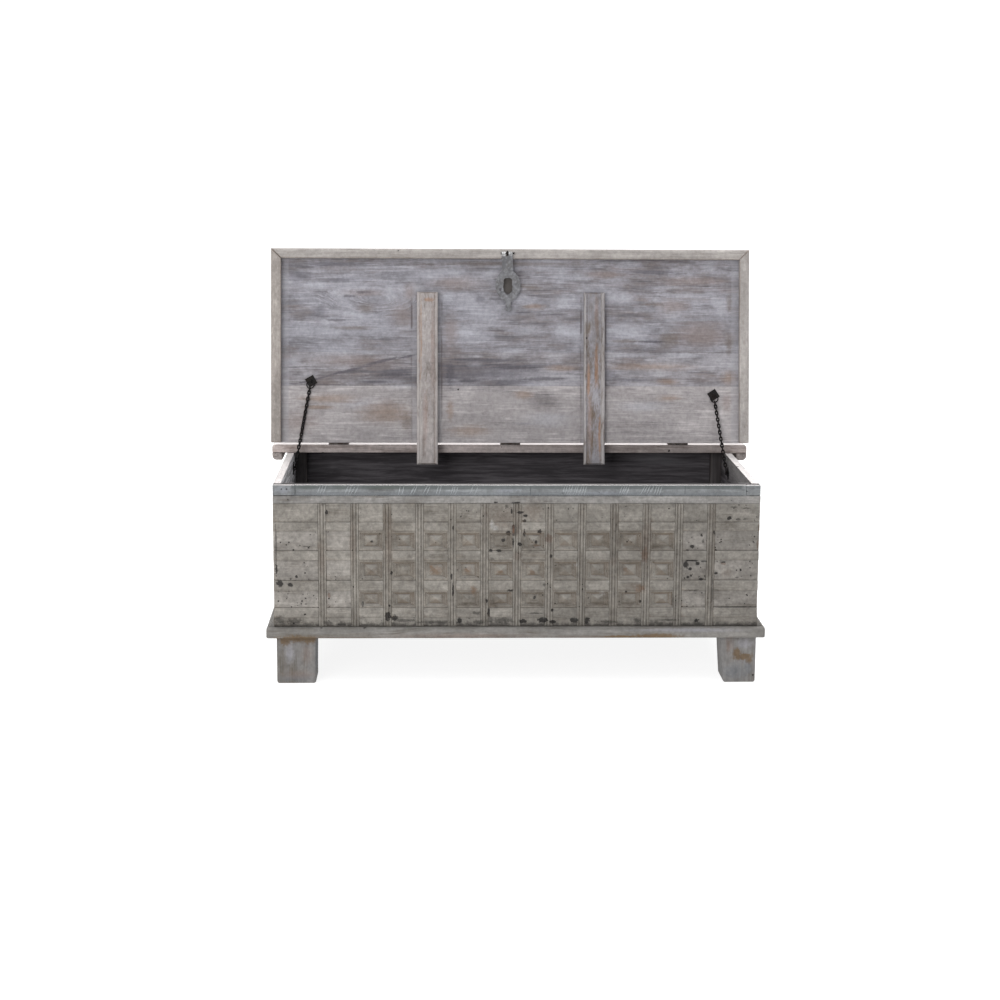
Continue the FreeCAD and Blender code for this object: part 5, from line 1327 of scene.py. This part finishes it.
def iron(name, base, rust_tint, rust_share, dust_tint, dust_share, metal=0.6, rough=0.55, dents=70.0,
         relief=0.0008, shine=0.5, shade=None):
    """Hammered iron with rust and with dust or paint in its hollows."""
    made, bench, shader, here = start_finish(name)
    marks = bench.group("hammered", {"Vector": here, "Scale": dents}).outputs
    worn = bench.group("edge_wear", {"Vector": here, "Radius": 0.0012, "Amount": 0.7}).outputs[0]
    tint = bench.tint(colour(*base), marks["Rust"], rust_share, rust_tint)
    covered = bench.times(marks["Dust"], dust_share)
    tint = bench.mix(covered, tint, colour(*dust_tint))
    tint = bench.tint(tint, worn, 0.5, (min(1, v * 2.2 + 0.006) for v in base))
    if shade:
        tint = shade(bench, here, tint, marks)
    bare = bench.minus(1.0, bench.math("MAXIMUM", covered, bench.times(marks["Rust"], rust_share)))
    bump = bench.add("Bump", {"Height": marks["Dents"], "Strength": 0.7, "Distance": relief}).outputs[0]
    bench.fill(shader, {"Base Color": tint, "Specular IOR Level": shine, "Metallic": bench.times(bare, metal),
                        "Roughness": bench.blur(bare, 0.85, rough), "Normal": bump})
    return made


def limed_knuckle(bench, here, tint, marks):
    """White lime on the rolled end of the hasp."""
    height = bench.axis(here, 2)
    white = bench.times(bench.between(height, 0.962, 0.968), bench.between(marks["Dents"], 0.60, 0.40, 0.35,
                                                                           0.95))
    return bench.mix(white, tint, colour(0.62, 0.62, 0.62))


def dented_tone(bench, here, tint, marks):
    """Lighter bumps and darker hollows, and white lime on the rolled end of the hasp."""
    tint = bench.mix(bench.between(marks["Dents"], 0.25, 0.60, 0.7, 0.0), tint, colour(0.25, 0.25, 0.264))
    hollows = bench.noise(bench.place(here, shift=(2, 0, 3)), 90.0, 3.0, 0.55).outputs[0]
    tint = bench.mix(bench.between(hollows, 0.48, 0.66, 0.0, 0.55), tint, colour(0.10, 0.10, 0.107))
    return limed_knuckle(bench, here, tint, marks)


black_iron = iron("black_iron_finish", (0.008, 0.0075, 0.008), (0.022, 0.014, 0.011), 0.5,
                  (0.05, 0.047, 0.045), 0.10, metal=0.0, rough=0.7, shine=0.2)
grey_iron = iron("grey_iron_finish", (0.12, 0.12, 0.127), (0.17, 0.15, 0.135), 0.3, (0.222, 0.222, 0.236),
                 0.85, metal=0.15, rough=0.65, dents=150.0, relief=0.0010, shade=dented_tone)
rusty_iron = iron("rusty_iron_finish", (0.06, 0.05, 0.045), (0.12, 0.065, 0.04), 0.85, (0.25, 0.23, 0.21),
                  0.4)
painted_iron = iron("painted_iron_finish", (0.12, 0.10, 0.09), (0.16, 0.09, 0.055), 0.5, (0.30, 0.28, 0.265),
                    0.8)


def dress(node, finish):
    """Gives a CAD node that is kept its finish."""
    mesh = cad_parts[node].data
    mesh.materials.clear()
    mesh.materials.append(finish)


for node in ("lid_chain_plates", "lid_chain_rings", "wall_chain_plates", "wall_chain_rings"):
    dress(node, black_iron)
for node in ("hinge_leaves_lid", "hinge_leaves_rail", "hinge_pins", "hinge_screws_lid", "hinge_screws_rail",
             "batten_nails"):
    dress(node, painted_iron)
for node in ("hasp_eye", "hasp_pin"):
    dress(node, black_iron)
dress("hasp_staple", rusty_iron)


# The slot and the nail hole: x, height, half width and half height in metres
LEAF_HOLES = [(-0.0080, 0.8865, 0.0108, 0.0180), (-0.0268, 0.8815, 0.0028, 0.0028)]
LEAF_VOXEL, LEAF_NARROWING, STEM_OFFSET = 0.0009, 0.955, 0.030


def hammer_leaf(piece):
    """Opens the leaf's slot to an oval, drills its nail hole and leaves hammer marks all over it."""
    low = [min(v.co[i] for v in piece.data.vertices) for i in range(3)]
    high = [max(v.co[i] for v in piece.data.vertices) for i in range(3)]
    middle = [(a + b) / 2 for a, b in zip(low, high)]
    edit_only(piece, "vertices", lambda v: True, bpy.ops.transform.resize, value=(LEAF_NARROWING, 1, 1),
              center_override=(middle[0] - STEM_OFFSET, 0, 0))
    for x, z, half_wide, half_tall in LEAF_HOLES:
        bpy.ops.object.select_all(action="DESELECT")
        bpy.ops.mesh.primitive_cylinder_add(vertices=40, radius=1, depth=0.06, location=(x, middle[1], z),
                                            rotation=(math.pi / 2, 0, 0))
        cutter = bpy.context.object
        bpy.ops.transform.resize(value=(half_wide, 1, half_tall))
        bpy.ops.object.transform_apply(location=True, rotation=True, scale=True)
        use_modifier(piece, "BOOLEAN", operation="DIFFERENCE", object=cutter, solver="EXACT")
        bpy.data.objects.remove(cutter)
    use_modifier(piece, "REMESH", mode="VOXEL", voxel_size=LEAF_VOXEL)
    ripple(piece, 0.0018, 0.0070, "hammer_marks")
    use_modifier(piece, "SMOOTH", factor=0.5, iterations=1)
    print("hasp leaf:", len(piece.data.polygons), "faces")


leaf = worn_copy("hasp_leaf", grey_iron, "hasp", 0, depth=0, shape=hammer_leaf)
select_only(leaf)
bpy.ops.object.shade_smooth()
print("iron dressed")

# %% [markdown]
# ## Chains
# Each chain is a run of small oval links, each a quarter turn from the last. One link is bent from round
# wire: a circle is spun through half a turn at each end of two straight sides. Its copies follow the places
# of the solid links, which are read from the loaded node, and are joined into one piece for each chain.

# %% One link
LINK_LENGTH, LINK_WIDTH, LINK_WIRE = 0.0142, 0.0094, 0.0018


def one_link(name):
    """An oval link about the origin, its length along Z and its face across X."""
    bend = LINK_WIDTH / 2 - LINK_WIRE
    straight = LINK_LENGTH / 2 - LINK_WIRE - bend
    bpy.ops.object.select_all(action="DESELECT")
    bpy.ops.mesh.primitive_circle_add(vertices=8, radius=LINK_WIRE, location=(0, bend, -straight))
    link = bpy.context.object
    link.name = name
    bpy.ops.object.transform_apply(location=True, rotation=True, scale=True)
    bpy.ops.object.mode_set(mode="EDIT")
    bpy.ops.mesh.select_all(action="SELECT")
    bpy.ops.mesh.extrude_region_move(TRANSFORM_OT_translate={"value": (0, 0, 2 * straight)})
    bpy.ops.mesh.spin(steps=6, angle=-math.pi, center=(0, 0, straight), axis=(1, 0, 0))
    bpy.ops.mesh.extrude_region_move(TRANSFORM_OT_translate={"value": (0, 0, -2 * straight)})
    bpy.ops.mesh.spin(steps=6, angle=-math.pi, center=(0, 0, -straight), axis=(1, 0, 0))
    bpy.ops.mesh.select_all(action="SELECT")
    bpy.ops.mesh.remove_doubles(threshold=0.00005)
    bpy.ops.mesh.normals_make_consistent(inside=False)
    bpy.ops.object.mode_set(mode="OBJECT")
    return link


pattern_link = one_link("pattern_link")
ends = [round(v, 4) for v in pattern_link.dimensions]
print("one link:", len(pattern_link.data.polygons), "faces,", ends, "m")


def hang_chain(side):
    """Copies the pattern link to every place of one chain, as one piece that runs from wall to lid."""
    parts = loose_parts(f"chain_{side}")
    middles = [sum(part, Vector()) / len(part) for part in parts]
    order = sorted(range(len(parts)), key=lambda i: middles[i].z)
    low, high = middles[order[0]], middles[order[-1]]
    run = (high - low).normalized()
    copies = []
    for place in order:
        part, middle = parts[place], middles[place]
        # The face direction is the one across the run in which the link is thinnest
        across = run.orthogonal().normalized()
        best = min((max((p - middle).dot(Quaternion(run, math.radians(turn)) @ across) for p in part), turn)
                   for turn in range(0, 180, 3))
        face = Quaternion(run, math.radians(best[1])) @ across
        turned = Matrix((face, run.cross(face), run)).transposed().to_4x4()
        link = bpy.data.objects.new(f"link_{side}_{place}", pattern_link.data.copy())
        link.data.transform(Matrix.Translation(middle) @ turned)
        scene.collection.objects.link(link)
        copies.append(link)
    select_only(*copies)
    bpy.ops.object.join()
    chain = bpy.context.object
    chain.name = f"chain_{side}_links"
    chain.data.name = chain.name
    smooth_by_angle(chain, 60)
    chain.data.materials.append(black_iron)
    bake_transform(chain)
    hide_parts(f"chain_{side}")
    return len(copies)


print("links:", hang_chain("left"), "left and", hang_chain("right"), "right")
bpy.data.objects.remove(pattern_link)
